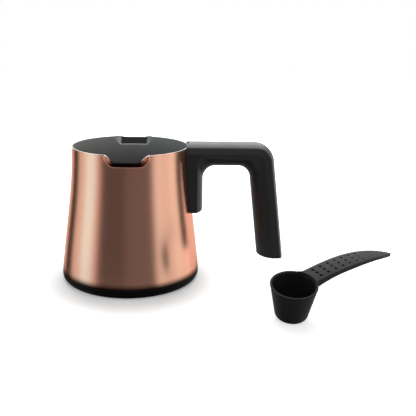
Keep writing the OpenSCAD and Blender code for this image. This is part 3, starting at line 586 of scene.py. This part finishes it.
def leg_sole_grid(pot, handle, sole):
    """The leg's closed lower end with the counterbore of its screw. The rows are the outline
    and the hole, at both heights, and each point of the hole lies in line with the screw's
    axis and a point of the outline."""
    angle = np.linspace(RIGHT_ANGLE, -RIGHT_ANGLE, BELLY_STEPS + 1)
    front = placed(handle.leg_x + handle.leg_round * np.cos(angle) ** 2, handle.half * np.sin(angle), 0)
    across = np.linspace(-handle.half, handle.half, LEG_ACROSS + 1)
    screw = np.array([handle.screw_x, 0.0])
    rows = []
    for z in (handle.leg_low, sole):
        back = to_wall(placed(0, across, z), pot, handle)
        outline = np.concatenate([back, front + [0, 0, z]])
        hole = screw + handle.screw_hole * unit(outline[:, :2] - screw)
        rows.append((outline, np.concatenate([hole, outline[:, 2:]], 1)))
    return np.stack([rows[0][0], rows[0][1], rows[1][1], rows[1][0]])


# Spoon

FINE_RUN = 26 * MM  # how far past its straight part the handle's grid is fine
FINE_ROWS, TIP_ROWS = 300, 40
SIDE_ROUND, SIDE_SHARE = 0.7 * MM, 0.35  # rounding of its sides, and its most of the half width
SIDE_POWER = 0.6  # the sides bow out by this power of a sine
OVER_RIM, BOW = 0.5 * MM, 0.15 * MM  # how far its upper side stands over the rim, and bows up
UPPER, SIDE, LOWER_STEP = 57, 7, 8  # columns above and beside, and how many above make one below
TAPER_RISE, TAPER_FALL, ARCH_POWER = 1.8, 0.6, 2.25
DIMPLE_COLUMNS, DIMPLE_SHRINK = 7, 0.06  # and by what share each column is smaller than the first
DIMPLE_DEPTH, DIMPLE_STEEP = 0.9, 2.2  # in radii, and how many times steeper than a smooth dish


def spoon_plan(s, spoon):
    """Half width of the spoon's handle at a distance s from the bowl's axis: a fillet out of
    the bowl's rim, a straight part, and a rounded taper, which is a power of one less another
    power of the way to the tip. Returns it with the distance at which the fillet starts from
    the straight part, and the one at which it touches the rim."""
    centre_y = spoon.half + spoon.fillet
    reach = spoon.bowl_radius + spoon.fillet
    centre_x = math.sqrt(reach**2 - centre_y**2)
    touch = centre_x * spoon.bowl_radius / reach
    inside = np.clip(centre_x - np.maximum(s, touch), 0, spoon.fillet)
    fillet = centre_y - np.sqrt(spoon.fillet**2 - inside**2)
    u = np.clip((s - spoon.straight) / (spoon.reach - spoon.straight), 0, 1)
    taper = spoon.half * np.maximum(1 - u**TAPER_RISE, 0.004) ** TAPER_FALL
    return np.where(s < centre_x, fillet, taper), centre_x, touch


def spoon_height(s, spoon):
    """Height of the handle's upper side: level and a little over the rim at the bowl, and
    then an arch, whose drop is a power of the way to the tip."""
    u = np.clip((s - spoon.dimple_start) / (spoon.reach - spoon.dimple_start), 0, None)
    return spoon.bowl_height + OVER_RIM - spoon.drop * u**ARCH_POWER


def spoon_depth(s, centre_x, spoon):
    """Thickness of the handle: it grows with the cube of the way towards the bowl, and falls
    evenly towards the tip."""
    near = np.clip((spoon.straight - s) / (spoon.straight - centre_x), 0, 1) ** 3
    far = np.clip((s - spoon.straight) / (spoon.reach - spoon.straight), 0, 1)
    deep = between(spoon.thick, spoon.root_thick, near)
    return deep + (spoon.tip_thick - spoon.thick) * far


def dimple_depth(s, y, spoon):
    """Depth of the dimples at a place on the handle: columns of three round hollows, each a
    smooth dish with a flat bottom, smaller towards the tip."""
    depth = np.zeros_like(s)
    for column in range(DIMPLE_COLUMNS):
        radius = spoon.dimple_radius * (1 - DIMPLE_SHRINK * column)
        for row in (-1, 0, 1):
            along = s - spoon.dimple_start - column * spoon.dimple_step
            away = np.hypot(along, y - row * spoon.dimple_row) / radius
            dish = DIMPLE_DEPTH * radius * smooth(DIMPLE_STEEP * (1 - away))
            depth = np.maximum(depth, dish)
    return depth


def spoon_handle_grids(spoon):
    """The handle as rings across its length, and the strips that close its ends. The upper
    side is fine enough for its dimples, and the sides are rounded into the upper and lower
    sides."""
    _, centre_x, touch = spoon_plan(0.0, spoon)
    fine_end = spoon.straight + FINE_RUN
    fine = np.linspace(touch, fine_end, FINE_ROWS)
    tip = fine_end + (spoon.reach - fine_end) * np.sin(np.linspace(0, RIGHT_ANGLE, TIP_ROWS + 1)[1:])
    s = np.concatenate([[touch - 2 * MM], fine, tip])[:, None]
    half, _, _ = spoon_plan(s, spoon)
    top, deep = spoon_height(s, spoon), spoon_depth(s, centre_x, spoon)
    soft = np.minimum(SIDE_ROUND, SIDE_SHARE * half)
    across = np.linspace(1, -1, UPPER)
    y = (half - soft) * across
    crown = BOW * (1 - across**2)
    upper = placed(s, y, top + crown - dimple_depth(s + 0 * y, y, spoon))
    angle = np.linspace(0, math.pi, SIDE + 2)[1:-1]
    out = soft * np.sin(angle) ** SIDE_POWER
    side = placed(s, soft - half - out, top - deep / 2 * (1 - np.cos(angle)))
    lower = placed(s, y[:, ::-LOWER_STEP], top - deep)
    ring = np.concatenate([upper, side, lower, (side * MIRROR_Y)[:, ::-1]], 1)
    # The root ends inside the bowl's wall, which leans in towards the foot
    fall = spoon.bowl_height - spoon.edge_radius
    lean = (spoon.bowl_radius - spoon.foot_radius - spoon.edge_radius) / fall
    wall = spoon.bowl_radius - (spoon.bowl_height - ring[..., 2]) * lean - spoon.wall / 2
    ring[..., 0] = np.maximum(ring[..., 0], np.sqrt(np.maximum(wall**2 - ring[..., 1] ** 2, 0)))
    # Each end's strip joins the upper half of its ring to the lower half, from the middle of
    # the +Y side to the middle of the -Y side
    count, half_side = ring.shape[1], SIDE // 2
    near, far = UPPER + half_side, count - SIDE + half_side
    over = np.arange(far - count, near + 1)
    below = count - SIDE - 1 - np.round(np.arange(UPPER) / LOWER_STEP).astype(int)
    turn_down = np.arange(far, count - SIDE - 1, -1)
    turn_up = np.arange(UPPER + SIDE - 1, near - 1, -1)
    under = np.concatenate([turn_down, below, turn_up])
    return ring, ring[0, [under, over]], ring[-1, [over, under]]


def bowl_profile(spoon):
    """The bowl's closed profile: across the foot, round the lower edge, up the leaning side,
    over the rounded rim, and down the inside at the wall's thickness."""
    lip, thin, side_angle = 0.2 * MM, 0.6 * MM, -12
    radius, top, wall = spoon.bowl_radius, spoon.bowl_height, spoon.wall
    outside = arc((spoon.foot_radius, spoon.edge_radius), spoon.edge_radius, -90, side_angle, 10)
    side = np.linspace(outside[-1], (radius - lip, top - 3 * lip), 9)[1:]
    # The rim's rounding outside and inside, in lip sizes from its two corners
    rim_out = (radius, top) + lip * np.array([[-0.3, -2.6], [0, -2.1], [0, -0.8], [-0.3, -0.25], [-0.9, 0]])
    rim_in = (radius - wall, top) + lip * np.array([[0.5, 0], [0, -0.6]])
    hollow = spoon.edge_radius - thin
    inside = arc((spoon.foot_radius - thin, wall + hollow), hollow, side_angle, -90, 10)
    down = np.linspace(rim_in[-1], inside[0], 9)[1:-1]
    return np.concatenate([[(0, 0)], outside, side, rim_out, rim_in, down, inside, [(0, wall)]])


def spoon_placed(points, spoon):
    """Leans the spoon about X and sets it on the surface at its place."""
    c, s = math.cos(spoon.lean), math.sin(spoon.lean)
    rise = spoon.foot_radius * s + spoon.edge_radius * (1 - c)
    x, y, z = np.moveaxis(points, -1, 0)
    return placed(x + spoon.x, y * c - z * s + spoon.y, y * s + z * c + rise)


# Finishes

WHITE, BLACK = linear("#FFFFFF"), linear("#000000")
EASED = "SMOOTHSTEP"
# Numbers of a colour Mix node's two inputs and its output
FIRST, SECOND, MIXED = 6, 7, 2


def add_node(tree, kind, inputs=None, **settings):
    """Adds a node with its settings. Each input, by name or number, takes a value or the
    output of another node."""
    node = tree.nodes.new(kind)
    for name, value in settings.items():
        setattr(node, name, value)
    for name, value in (inputs or {}).items():
        if isinstance(value, bpy.types.NodeSocket):
            tree.links.new(value, node.inputs[name])
        else:
            node.inputs[name].default_value = value
    return node


def new_finish(name, inputs):
    """A material with one principled shader: returns it with its tree, its shader and the
    object's own coordinates."""
    material = bpy.data.materials.new(name)
    material.use_nodes = True
    tree = material.node_tree
    tree.nodes.clear()
    shader = add_node(tree, "ShaderNodeBsdfPrincipled", inputs)
    add_node(tree, "ShaderNodeOutputMaterial", {"Surface": shader.outputs["BSDF"]})
    place = add_node(tree, "ShaderNodeTexCoord").outputs["Object"]
    return material, tree, shader, place


def scaled(color, amount):
    """A colour made darker or lighter."""
    return (*[min(1.0, c * amount) for c in tuple(color)[:3]], 1.0)


def add_grain(tree, place, shader, size, depth, strength, detail=2.0):
    """Gives a finish a fine uneven surface, whose grains have a size and a depth in metres.
    Returns how high each place stands, from nought to one."""
    noise = add_node(tree, "ShaderNodeTexNoise", {"Vector": place, "Scale": 1 / size, "Detail": detail})
    level = noise.outputs["Fac"]
    bump = add_node(tree, "ShaderNodeBump", {"Height": level, "Strength": strength, "Distance": depth})
    tree.links.new(bump.outputs["Normal"], shader.inputs["Normal"])
    limits = {"Value": level, "From Min": 0.3, "From Max": 0.7}
    return add_node(tree, "ShaderNodeMapRange", limits).outputs[0]


def between_shades(tree, share, color, dark, light):
    """One colour at two strengths, mixed by a share."""
    inputs = {"Factor": share, FIRST: scaled(color, dark), SECOND: scaled(color, light)}
    return add_node(tree, "ShaderNodeMix", inputs, data_type="RGBA").outputs[MIXED]


def on_trough(tree, place, start):
    """Nought on the pot's wall and one on the flat middle of a spout's trough, which begins
    at a distance from the axis."""
    split = add_node(tree, "ShaderNodeSeparateXYZ", {"Vector": place})
    flat = add_node(tree, "ShaderNodeVectorMath", {0: place, 1: (1.0, 1.0, 0.0)}, operation="MULTIPLY")
    away = add_node(tree, "ShaderNodeVectorMath", {0: flat.outputs[0]}, operation="LENGTH")
    aside = add_node(tree, "ShaderNodeMath", {0: split.outputs["X"]}, operation="ABSOLUTE")
    share = 1.0
    for value, none, full in (
        (away.outputs["Value"], start, start + 1.6 * MM),
        (split.outputs["Z"], 86 * MM, 90 * MM),
        (aside.outputs[0], 13 * MM, 8.5 * MM),
    ):
        limits = {"Value": value, "From Min": none, "From Max": full}
        part = add_node(tree, "ShaderNodeMapRange", limits, interpolation_type=EASED).outputs[0]
        share = add_node(tree, "ShaderNodeMath", {0: share, 1: part}, operation="MULTIPLY").outputs[0]
    return share


def copper_finish(looks):
    """Steel sheet with a satin copper coat, sprayed and cured: a warm mirror, blurred by a
    fine even grain, which is drawn coarser than the real one so that it shows. Painted shade
    darkens it to black over the wall's last few millimetres above the shoe, and painted
    shade makes the lips' undersides dark."""
    material, tree, shader, place = new_finish(
        "copper_coated_steel",
        {"Metallic": 1.0, "Roughness": 0.27, "Specular Tint": linear("#FFDAC8")},
    )
    grain = add_grain(tree, place, shader, 0.385 * MM, 0.03 * MM, 0.14)
    color = between_shades(tree, grain, looks.copper, 0.94, 1.0)
    # Painted shade: the copper turns to near black over the wall's lowest few millimetres
    height = add_node(tree, "ShaderNodeSeparateXYZ", {"Vector": place}).outputs["Z"]
    limits = {"Value": height, "From Min": 6.5 * MM, "From Max": 12 * MM}
    clear_of_painted_shade = add_node(tree, "ShaderNodeMapRange", limits, interpolation_type=EASED).outputs[0]
    # Near black for painted shade, and the mask of the lips' undersides, which painted shade makes dark
    dark, lip = linear("#050303"), on_trough(tree, place, 43 * MM)
    wall = add_node(tree, "ShaderNodeMix", {"Factor": clear_of_painted_shade, FIRST: dark, SECOND: color}, data_type="RGBA")
    inputs = {"Factor": lip, FIRST: wall.outputs[MIXED], SECOND: dark}
    color = add_node(tree, "ShaderNodeMix", inputs, data_type="RGBA").outputs[MIXED]
    tree.links.new(color, shader.inputs["Base Color"])
    return material


def coating_finish(looks):
    """Non-stick coat, sprayed and baked inside the pot: smooth and half matt. Painted shade
    makes it darker deeper down, and painted light makes it paler towards the rim. The spouts'
    troughs are matt, painted shade makes them dark, and their creases carry a painted highlight."""
    rough = 0.46
    material, tree, shader, place = new_finish("baked_inner_coat", {"Specular IOR Level": 0.3})
    grain = add_grain(tree, place, shader, 0.667 * MM, 0.02 * MM, 0.2, 3.0)
    # Shaded and lit copies of the coat: painted shade deep in the pot, painted light by the rim
    deep = between_shades(tree, grain, looks.coating, 0.72, 0.8)
    high = between_shades(tree, grain, looks.coating, 1.5, 1.65)
    height = add_node(tree, "ShaderNodeSeparateXYZ", {"Vector": place}).outputs["Z"]
    trough = on_trough(tree, place, 41.4 * MM)
    # The crease mask carries a painted highlight along the troughs' creases
    climb, crease, floor = (
        add_node(tree, "ShaderNodeMapRange", {"Value": value, "From Min": low, "From Max": top}).outputs[0]
        for value, low, top in ((height, 79 * MM, 99 * MM), (trough, 0.0, 0.35), (trough, 0.3, 0.85))
    )
    color = deep
    # Painted shade makes the troughs' flat middles near black
    painted_crease_highlight, painted_trough_shade = scaled(looks.coating, 1.9), scaled(looks.coating, 0.06)
    for share, over in ((climb, high), (crease, painted_crease_highlight), (floor, painted_trough_shade)):
        inputs = {"Factor": share, FIRST: color, SECOND: over}
        color = add_node(tree, "ShaderNodeMix", inputs, data_type="RGBA").outputs[MIXED]
    tree.links.new(color, shader.inputs["Base Color"])
    matt = add_node(tree, "ShaderNodeMapRange", {"Value": floor, "To Min": rough, "To Max": 1.0}).outputs[0]
    tree.links.new(matt, shader.inputs["Roughness"])
    return material


def metal_finish(name, color, roughness, grain=1.11):
    """Bare metal as it leaves the press, the saw or the mould: a mirror that its light grain,
    sized in millimetres, blurs and makes a little uneven."""
    material, tree, shader, place = new_finish(name, {"Metallic": 1.0, "Roughness": roughness})
    level = add_grain(tree, place, shader, grain * MM, 0.02 * MM, 0.25, 3.0)
    tree.links.new(between_shades(tree, level, color, 0.85, 1.0), shader.inputs["Base Color"])
    return material


def moulded_finish(name, color, roughness, grain, depth=0.04, specular=0.5):
    """A moulding with the fine texture of its tool, sized in millimetres and drawn coarser
    than the real one so that it shows. It spreads the light a little unevenly, in patches."""
    patch, uneven = 16.7 * MM, 0.03
    material, tree, shader, place = new_finish(name, {"Specular IOR Level": specular})
    level = add_grain(tree, place, shader, grain * MM, depth * MM, 0.35)
    tree.links.new(between_shades(tree, level, color, 0.85, 1.15), shader.inputs["Base Color"])
    cloud = add_node(tree, "ShaderNodeTexNoise", {"Vector": place, "Scale": 1 / patch, "Detail": 2.0})
    limits = {"Value": cloud.outputs["Fac"], "To Min": roughness - uneven, "To Max": roughness + uneven}
    rough = add_node(tree, "ShaderNodeMapRange", limits).outputs[0]
    tree.links.new(rough, shader.inputs["Roughness"])
    return material


def dress(finish, *names):
    """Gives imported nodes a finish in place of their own."""
    for name in names:
        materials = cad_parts[name].data.materials
        materials.clear()
        materials.append(finish)


# Operators


class OBJECT_OT_coffee_pot_stage(bpy.types.Operator):
    """Sets up the floor, the lights and the camera"""

    bl_idname = "object.coffee_pot_stage"
    bl_label = "Stage"

    def execute(self, context):
        scene = context.scene
        scene.view_settings.view_transform = "Standard"
        self.add_camera(scene)
        self.add_floor(scene)
        self.add_backdrop(scene)
        self.add_bounce(scene)
        self.add_world(scene)
        # Soft boxes in a ring round the pot, from the left over the front to the right: name,
        # first and last azimuth in degrees, radiance and colour
        distance, height, tall = 1.4, 0.2, 1.4
        for name, first, last, radiance, color in (
            ("left_rear_box", 157, 179, 0.92, "#FFFCF7"),
            ("left_box", 179, 206, 1.68, "#D1F9FF"),
            ("left_shoulder_box", 206, 215, 0.92, "#FFE1DD"),
            ("left_front_box", 215, 262, 0.09, "#FFF3F3"),
            ("front_box", 262, 315, 0.16, "#FFF3F3"),
            ("right_front_box", 315, 338, 1.12, "#F9FFFA"),
            ("right_gap_box", 338, 350, 1.06, "#FFFCF7"),
            ("right_box", 350, 376, 1.2, "#FAFFF9"),
            ("right_rear_box", 376, 392, 1.35, "#FFF6F3"),
            ("rear_box", 392, 406, 1.05, "#FFF3F3"),
        ):
            width = 2 * distance * math.tan(math.radians((last - first) / 2))
            azimuth = (first + last) / 2
            self.add_soft_box(scene, name, azimuth, distance, height, (width, tall), radiance, color)
        self.add_soft_box(scene, "high_front_box", -90, 1.4, 1.15, (2.2, 0.9), 1.3)
        self.add_soft_box(scene, "high_rear_box", 90, 1.5, 1.35, (2.2, 1.5), 3.5)
        self.add_soft_box(scene, "overhead_box", 90, 0.05, 1.6, (1.4, 1.4), 1.0)
        return {"FINISHED"}

    def add_camera(self, scene):
        """A camera in front of the pot, a little above it and turned down towards it."""
        data = bpy.data.cameras.new("studio_camera")
        data.sensor_width, data.lens = 36.0, 56.383
        # In pixels: the width of the picture, and how far its middle lies below the axis
        width, below = 416, 38
        data.shift_y = -below / width
        data.clip_start, data.clip_end = 0.01, 50.0
        camera = bpy.data.objects.new("studio_camera", data)
        scene.collection.objects.link(camera)
        tilt, roll, turned = (math.radians(angle) for angle in (77.66203, -1.09672, -2.90522))
        place = Matrix.Translation((0.030957, -0.468585, 0.183467))
        camera.matrix_world = place @ Euler((tilt, roll, turned)).to_matrix().to_4x4()
        scene.camera = camera

    def add_sheet(self, scene, name, points, faces, inputs):
        """A sheet of the stage, ready to glow white: returns the object with its material's
        tree, shader and coordinates. It isn't sampled as a lamp."""
        mesh = bpy.data.meshes.new(name)
        mesh.from_pydata(points, [], faces)
        sheet = bpy.data.objects.new(name, mesh)
        scene.collection.objects.link(sheet)
        inputs = {"Specular IOR Level": 0.0, "Emission Color": WHITE, **inputs}
        material, tree, shader, place = new_finish(name, inputs)
        mesh.materials.append(material)
        material.cycles.emission_sampling = "NONE"
        return sheet, tree, shader, place

    def glow(self, tree, shader, path_outputs, strength):
        """Lets a sheet glow to the given kinds of rays only."""
        path = add_node(tree, "ShaderNodeLightPath")
        seen = path.outputs[path_outputs[0]]
        for name in path_outputs[1:]:
            both = add_node(tree, "ShaderNodeMath", {0: seen, 1: path.outputs[name]}, operation="MAXIMUM")
            seen = both.outputs[0]
        amount = add_node(tree, "ShaderNodeMath", {0: seen, 1: strength}, operation="MULTIPLY")
        tree.links.new(amount.outputs[0], shader.inputs["Emission Strength"])

    def add_floor(self, scene):
        """A wide white floor. The camera sees it glow a little near the pot, where it keeps
        the shadows, and fully further out. The metal doesn't mirror it."""
        wide = 6.0
        corners = [(x * wide, y * wide, 0) for x, y in ((-1, -1), (1, -1), (1, 1), (-1, 1))]
        floor, tree, shader, place = self.add_sheet(
            scene, "studio_floor", corners, [(0, 1, 2, 3)], {"Roughness": 0.9}
        )
        noise = add_node(tree, "ShaderNodeTexNoise", {"Vector": place, "Scale": 3.0}).outputs["Fac"]
        color = between_shades(tree, noise, scene.coffee_pot_looks.floor, 0.99, 1.0)
        tree.links.new(color, shader.inputs["Base Color"])
        # Each part of the glow: the middle of its circles, where it starts and ends, and its
        # strength there
        pot, spoon, parts = (0.0, 0.0, 0.0), (0.125, -0.07, 0.0), []
        for middle, start, end, low, high in (
            (pot, 0.053, 0.08, 0.25, 0.62),
            (pot, 0.18, 0.5, 0.0, 0.4),
            (spoon, 0.02, 0.06, 0.88, 1.0),
        ):
            away = add_node(tree, "ShaderNodeVectorMath", {0: place, 1: middle}, operation="DISTANCE")
            limits = {"Value": away.outputs["Value"], "From Min": start, "From Max": end}
            limits |= {"To Min": low, "To Max": high}
            parts.append(add_node(tree, "ShaderNodeMapRange", limits, interpolation_type=EASED).outputs[0])
        near, far, by_spoon = parts
        total = add_node(tree, "ShaderNodeMath", {0: near, 1: far}, operation="ADD").outputs[0]
        amount = add_node(tree, "ShaderNodeMath", {0: total, 1: by_spoon}, operation="MULTIPLY")
        self.glow(tree, shader, ["Is Camera Ray"], amount.outputs[0])
        floor.visible_glossy = False

    def add_backdrop(self, scene):
        """A white backdrop behind the pot, bent round it. It glows to the camera and to the
        metal and plastic that mirror it, and lights nothing else."""
        steps, radius = 32, 2.4
        angle = np.radians(np.linspace(46, 132, steps + 1))
        rows = placed(radius * np.cos(angle), radius * np.sin(angle), np.array([[-0.8], [1.5]]))
        number = np.arange(steps)[:, None]
        faces = number + [1, 0, steps + 1, steps + 2]
        backdrop, tree, shader, _ = self.add_sheet(
            scene, "backdrop", rows.reshape(-1, 3), faces, {"Base Color": BLACK}
        )
        self.glow(tree, shader, ["Is Camera Ray", "Is Glossy Ray", "Is Transmission Ray"], 1.0)
        backdrop.visible_diffuse = backdrop.visible_shadow = False

    def add_bounce(self, scene):
        """A white disc below the floor, which the metal and plastic mirror when they are seen
        from above. It is dark straight below the pot, where the pot's shadow would be."""
        sides, radius, height = 48, 1.3, -0.5
        angle = np.linspace(0, 2 * math.pi, sides, endpoint=False)
        ring = placed(radius * np.cos(angle), radius * np.sin(angle), height)
        disc, tree, shader, place = self.add_sheet(
            scene, "bounce", ring, [tuple(range(sides))], {"Base Color": BLACK}
        )
        depth = add_node(tree, "ShaderNodeLightPath").outputs["Ray Depth"]
        # Only the first mirror on a ray's way shows the disc
        once = 1.5
        first = add_node(tree, "ShaderNodeMath", {0: depth, 1: once}, operation="LESS_THAN")
        away = add_node(tree, "ShaderNodeVectorMath", {0: place}, operation="LENGTH").outputs["Value"]
        limits = {"Value": away, "From Min": 0.52, "From Max": 0.72, "To Max": 0.55}
        shadow = add_node(tree, "ShaderNodeMapRange", limits, interpolation_type=EASED).outputs[0]
        amount = add_node(tree, "ShaderNodeMath", {0: first.outputs[0], 1: shadow}, operation="MULTIPLY")
        self.glow(tree, shader, ["Is Glossy Ray"], amount.outputs[0])
        disc.visible_diffuse = disc.visible_shadow = False

    def add_world(self, scene):
        """White to the camera, and dark to everything else."""
        world = bpy.data.worlds.new("studio")
        world.use_nodes = True
        tree = world.node_tree
        tree.nodes.clear()
        seen = add_node(tree, "ShaderNodeLightPath").outputs["Is Camera Ray"]
        back = add_node(tree, "ShaderNodeBackground", {"Color": WHITE, "Strength": seen})
        add_node(tree, "ShaderNodeOutputWorld", {"Surface": back.outputs[0]})
        scene.world = world

    def add_soft_box(self, scene, name, azimuth, distance, height, size, radiance, color="#FFFFFF"):
        """A rectangular light that faces the pot. Its power is its radiance times its area
        times pi."""
        data = bpy.data.lights.new(name, "AREA")
        data.shape = "RECTANGLE"
        data.size, data.size_y = size
        data.energy = radiance * size[0] * size[1] * math.pi
        data.color = linear(color)[:3]
        lamp = bpy.data.objects.new(name, data)
        scene.collection.objects.link(lamp)
        angle = math.radians(azimuth)
        spot = np.array([distance * math.cos(angle), distance * math.sin(angle), height])
        middle, overhead = np.array([0, 0, 0.05]), 0.99
        back = unit(spot - middle)
        side = unit(np.cross([0, 0, 1], back)) if back[2] < overhead else np.array([1.0, 0, 0])
        axes = np.stack([side, np.cross(back, side), back, spot], 1)
        lamp.matrix_world = Matrix([*axes.tolist(), (0, 0, 0, 1)])
        lamp.visible_camera = False


class OBJECT_OT_coffee_pot_wall(bpy.types.Operator):
    """Builds the pot's wall with both spouts"""

    bl_idname = "object.coffee_pot_wall"
    bl_label = "Pot Wall"

    def execute(self, context):
        pot, looks = context.scene.coffee_pot_body, context.scene.coffee_pot_looks
        grid, finish = pot_wall_surface(pot)
        coating = coating_finish(looks)
        # Steel sheet where it was sheared and rubbed smooth: a thin bright line
        cut_edge = metal_finish("sheared_steel", looks.cut_edge, 0.25)
        finishes = [copper_finish(looks), cut_edge, coating]
        surface("pot_body", [(grid, True, True, finish)], finishes, "pot", ["pot_wall"], 50)
        dress(coating, "pot_floor")
        return {"FINISHED"}


class OBJECT_OT_coffee_pot_handle(bpy.types.Operator):
    """Builds the handle's two mouldings and its end cap"""

    bl_idname = "object.coffee_pot_handle"
    bl_label = "Handle"

    def execute(self, context):
        scene = context.scene
        pot, handle, looks = scene.coffee_pot_body, scene.coffee_pot_handle, scene.coffee_pot_looks
        # Polypropylene moulded in a finely eroded tool: black with a wide, soft shine
        finish = moulded_finish(
            "handle_moulded_polypropylene", looks.handle, 0.42, 0.3125, specular=0.38
        )
        beam, inner, arch = handle_stations(handle)
        left = np.array([handle.leg_x + handle.leg_round + handle.inner, inner[1]])
        straight = np.array([beam(x) for x in np.linspace(left[0], inner[0], BEAM_STEPS + 1)])
        self.add_cover(pot, handle, beam, straight, arch, [finish])
        self.add_frame(pot, handle, left, straight, arch, [finish])
        self.add_cap(handle, arch, [finish])
        return {"FINISHED"}

    def add_cover(self, pot, handle, beam, straight, arch, finishes):
        """The crowned outer strip, from the wall over the corner to the end of the grip."""
        start, end = pot.rim_radius - 4 * MM, straight[0, 0, 0]
        first = [beam(x) for x in np.linspace(start, end, BEAM_STEPS + 1)[:-1]]
        stations = np.concatenate([first, straight, arch])
        sheets = [to_wall(crown_rings(stations, handle, inset), pot, handle) for inset in (0, handle.mould)]
        surface("handle_top", shell_grids(*sheets), finishes, "pot", ["handle_cover"])

    def add_frame(self, pot, handle, left, straight, arch, finishes):
        """The rounded inner side, the block of the leg behind it, and the leg's sole, which
        both stand in a little way so that no edges meet."""
        sole = handle.leg_low + handle.mould
        above = sole - 0.1 * MM
        grids = leg_shell_grids(handle, above, left, straight, arch) + leg_block_grids(pot, handle, above)
        grids.append((leg_sole_grid(pot, handle, sole), True, True, 0))
        surface("handle_arch", grids, finishes, "pot", ["handle_frame"])

    def add_cap(self, handle, arch, finishes):
        """The plug that closes the grip's lower end: the inside of both mouldings' sections,
        carried up along the grip."""
        up = np.array([-math.sin(handle.lean), math.cos(handle.lean)])
        ends = np.stack([arch[-1] + up * handle.cap, arch[-1]])
        inset = handle.mould + handle.cap_gap
        belly, crown = belly_rings(ends, handle, inset, steps=34), crown_rings(ends, handle, inset)
        pick = np.linspace(0, crown.shape[1] - 1, belly.shape[1]).round().astype(int)
        crown = crown[:, pick]
        ring = np.concatenate([belly, crown[:, ::-1]], 1)[:, ::-1]
        top, low = np.stack([belly[0], crown[0]]), np.stack([crown[1], belly[1]])
        grids = [(ring, True, False, 0), (top, False, False, 0), (low, False, False, 0)]
        surface("grip_end", grids, finishes, "pot", ["grip_cap"])


class OBJECT_OT_coffee_pot_spoon(bpy.types.Operator):
    """Builds the measuring spoon"""

    bl_idname = "object.coffee_pot_spoon"
    bl_label = "Measuring Spoon"

    def execute(self, context):
        spoon, looks = context.scene.coffee_pot_spoon, context.scene.coffee_pot_looks
        # Polypropylene moulded in a matt tool: an even black with little shine
        plastic = moulded_finish("spoon_moulded_polypropylene", looks.spoon, 0.5, 0.278, specular=0.13)
        bowl = revolved(bowl_profile(spoon), 120)
        c, s = math.cos(spoon.turn), math.sin(spoon.turn)
        swing = np.array([[c, s, 0], [-s, c, 0], [0, 0, 1]])
        handle, root, tip = (grid @ swing for grid in spoon_handle_grids(spoon))
        grids = [
            (spoon_placed(grid, spoon), closed, False, 0)
            for grid, closed in ((bowl, True), (handle, True), (root, False), (tip, False))
        ]
        surface("measuring_spoon", grids, [plastic], "spoon", ["spoon"])
        return {"FINISHED"}


class OBJECT_OT_coffee_pot_base(bpy.types.Operator):
    """Finishes the shoe and the pieces inside the base"""

    bl_idname = "object.coffee_pot_base"
    bl_label = "Base"

    def execute(self, context):
        looks = context.scene.coffee_pot_looks
        # Polypropylene moulded in a matt tool: a deep black almost without shine
        shoe = moulded_finish("shoe_moulded_polypropylene", looks.shoe, 0.5, 0.357, specular=0.06)
        # Silicone rubber moulded in a plain tool: dull and nearly black
        rubber = moulded_finish("moulded_silicone_rubber", looks.seal, 0.7, 0.556, 0.03, 0.2)
        # Steatite pressed from powder and fired: off-white and half matt
        ceramic = moulded_finish("fired_steatite", looks.ceramic, 0.4, 0.667, 0.03)
        # Aluminium cast in a die: pale and dull, with a coarse grain
        aluminium = metal_finish("cast_aluminium", looks.aluminium, 0.45, 2.0)
        # Steel turned or pressed and left plain: grey with a soft shine
        steel = metal_finish("plain_steel", looks.steel, 0.32)
        # Brass pressed from strip: yellow with a clear shine
        brass = metal_finish("pressed_brass", looks.brass, 0.25)
        dress(shoe, "base_shoe", "control_body")
        dress(rubber, "shoe_seal")
        dress(ceramic, "guide_plate", "trip_pin")
        dress(aluminium, "heat_plate")
        dress(steel, "heating_element", "plate_studs", "shoe_screws", "handle_screws")
        dress(steel, "handle_bracket", "disc_carrier")
        dress(brass, "element_tabs", "lead_straps", "centre_contact", "ring_contacts")
        dress(brass, "snap_disc", "switch_leaf", "leaf_terminal", "fixed_contact")
        return {"FINISHED"}


class VIEW3D_PT_coffee_pot(bpy.types.Panel):
    """Lists the operators and their settings"""

    bl_idname = "VIEW3D_PT_coffee_pot"
    bl_label = "Coffee Pot"
    bl_space_type = "VIEW_3D"
    bl_region_type = "UI"
    bl_category = "Coffee Pot"

    def draw(self, context):
        layout = self.layout
        for operator in OPERATORS:
            layout.operator(operator.bl_idname)
        for name, group in SETTINGS.items():
            box = layout.box()
            for field in group.__annotations__:
                box.prop(getattr(context.scene, name), field)


OPERATORS = (
    OBJECT_OT_coffee_pot_stage,
    OBJECT_OT_coffee_pot_wall,
    OBJECT_OT_coffee_pot_handle,
    OBJECT_OT_coffee_pot_spoon,
    OBJECT_OT_coffee_pot_base,
)


def register():
    for group in SETTINGS.values():
        bpy.utils.register_class(group)
    for name, group in SETTINGS.items():
        setattr(bpy.types.Scene, name, bpy.props.PointerProperty(type=group))
    for operator in OPERATORS:
        bpy.utils.register_class(operator)
    bpy.utils.register_class(VIEW3D_PT_coffee_pot)


def unregister():
    bpy.utils.unregister_class(VIEW3D_PT_coffee_pot)
    for operator in reversed(OPERATORS):
        bpy.utils.unregister_class(operator)
    for name in SETTINGS:
        delattr(bpy.types.Scene, name)
    for group in reversed(SETTINGS.values()):
        bpy.utils.unregister_class(group)


def main():
    register()
    bpy.ops.object.coffee_pot_stage()
    bpy.ops.object.coffee_pot_wall()
    bpy.ops.object.coffee_pot_handle()
    bpy.ops.object.coffee_pot_spoon()
    bpy.ops.object.coffee_pot_base()


if __name__ == "__main__":
    main()
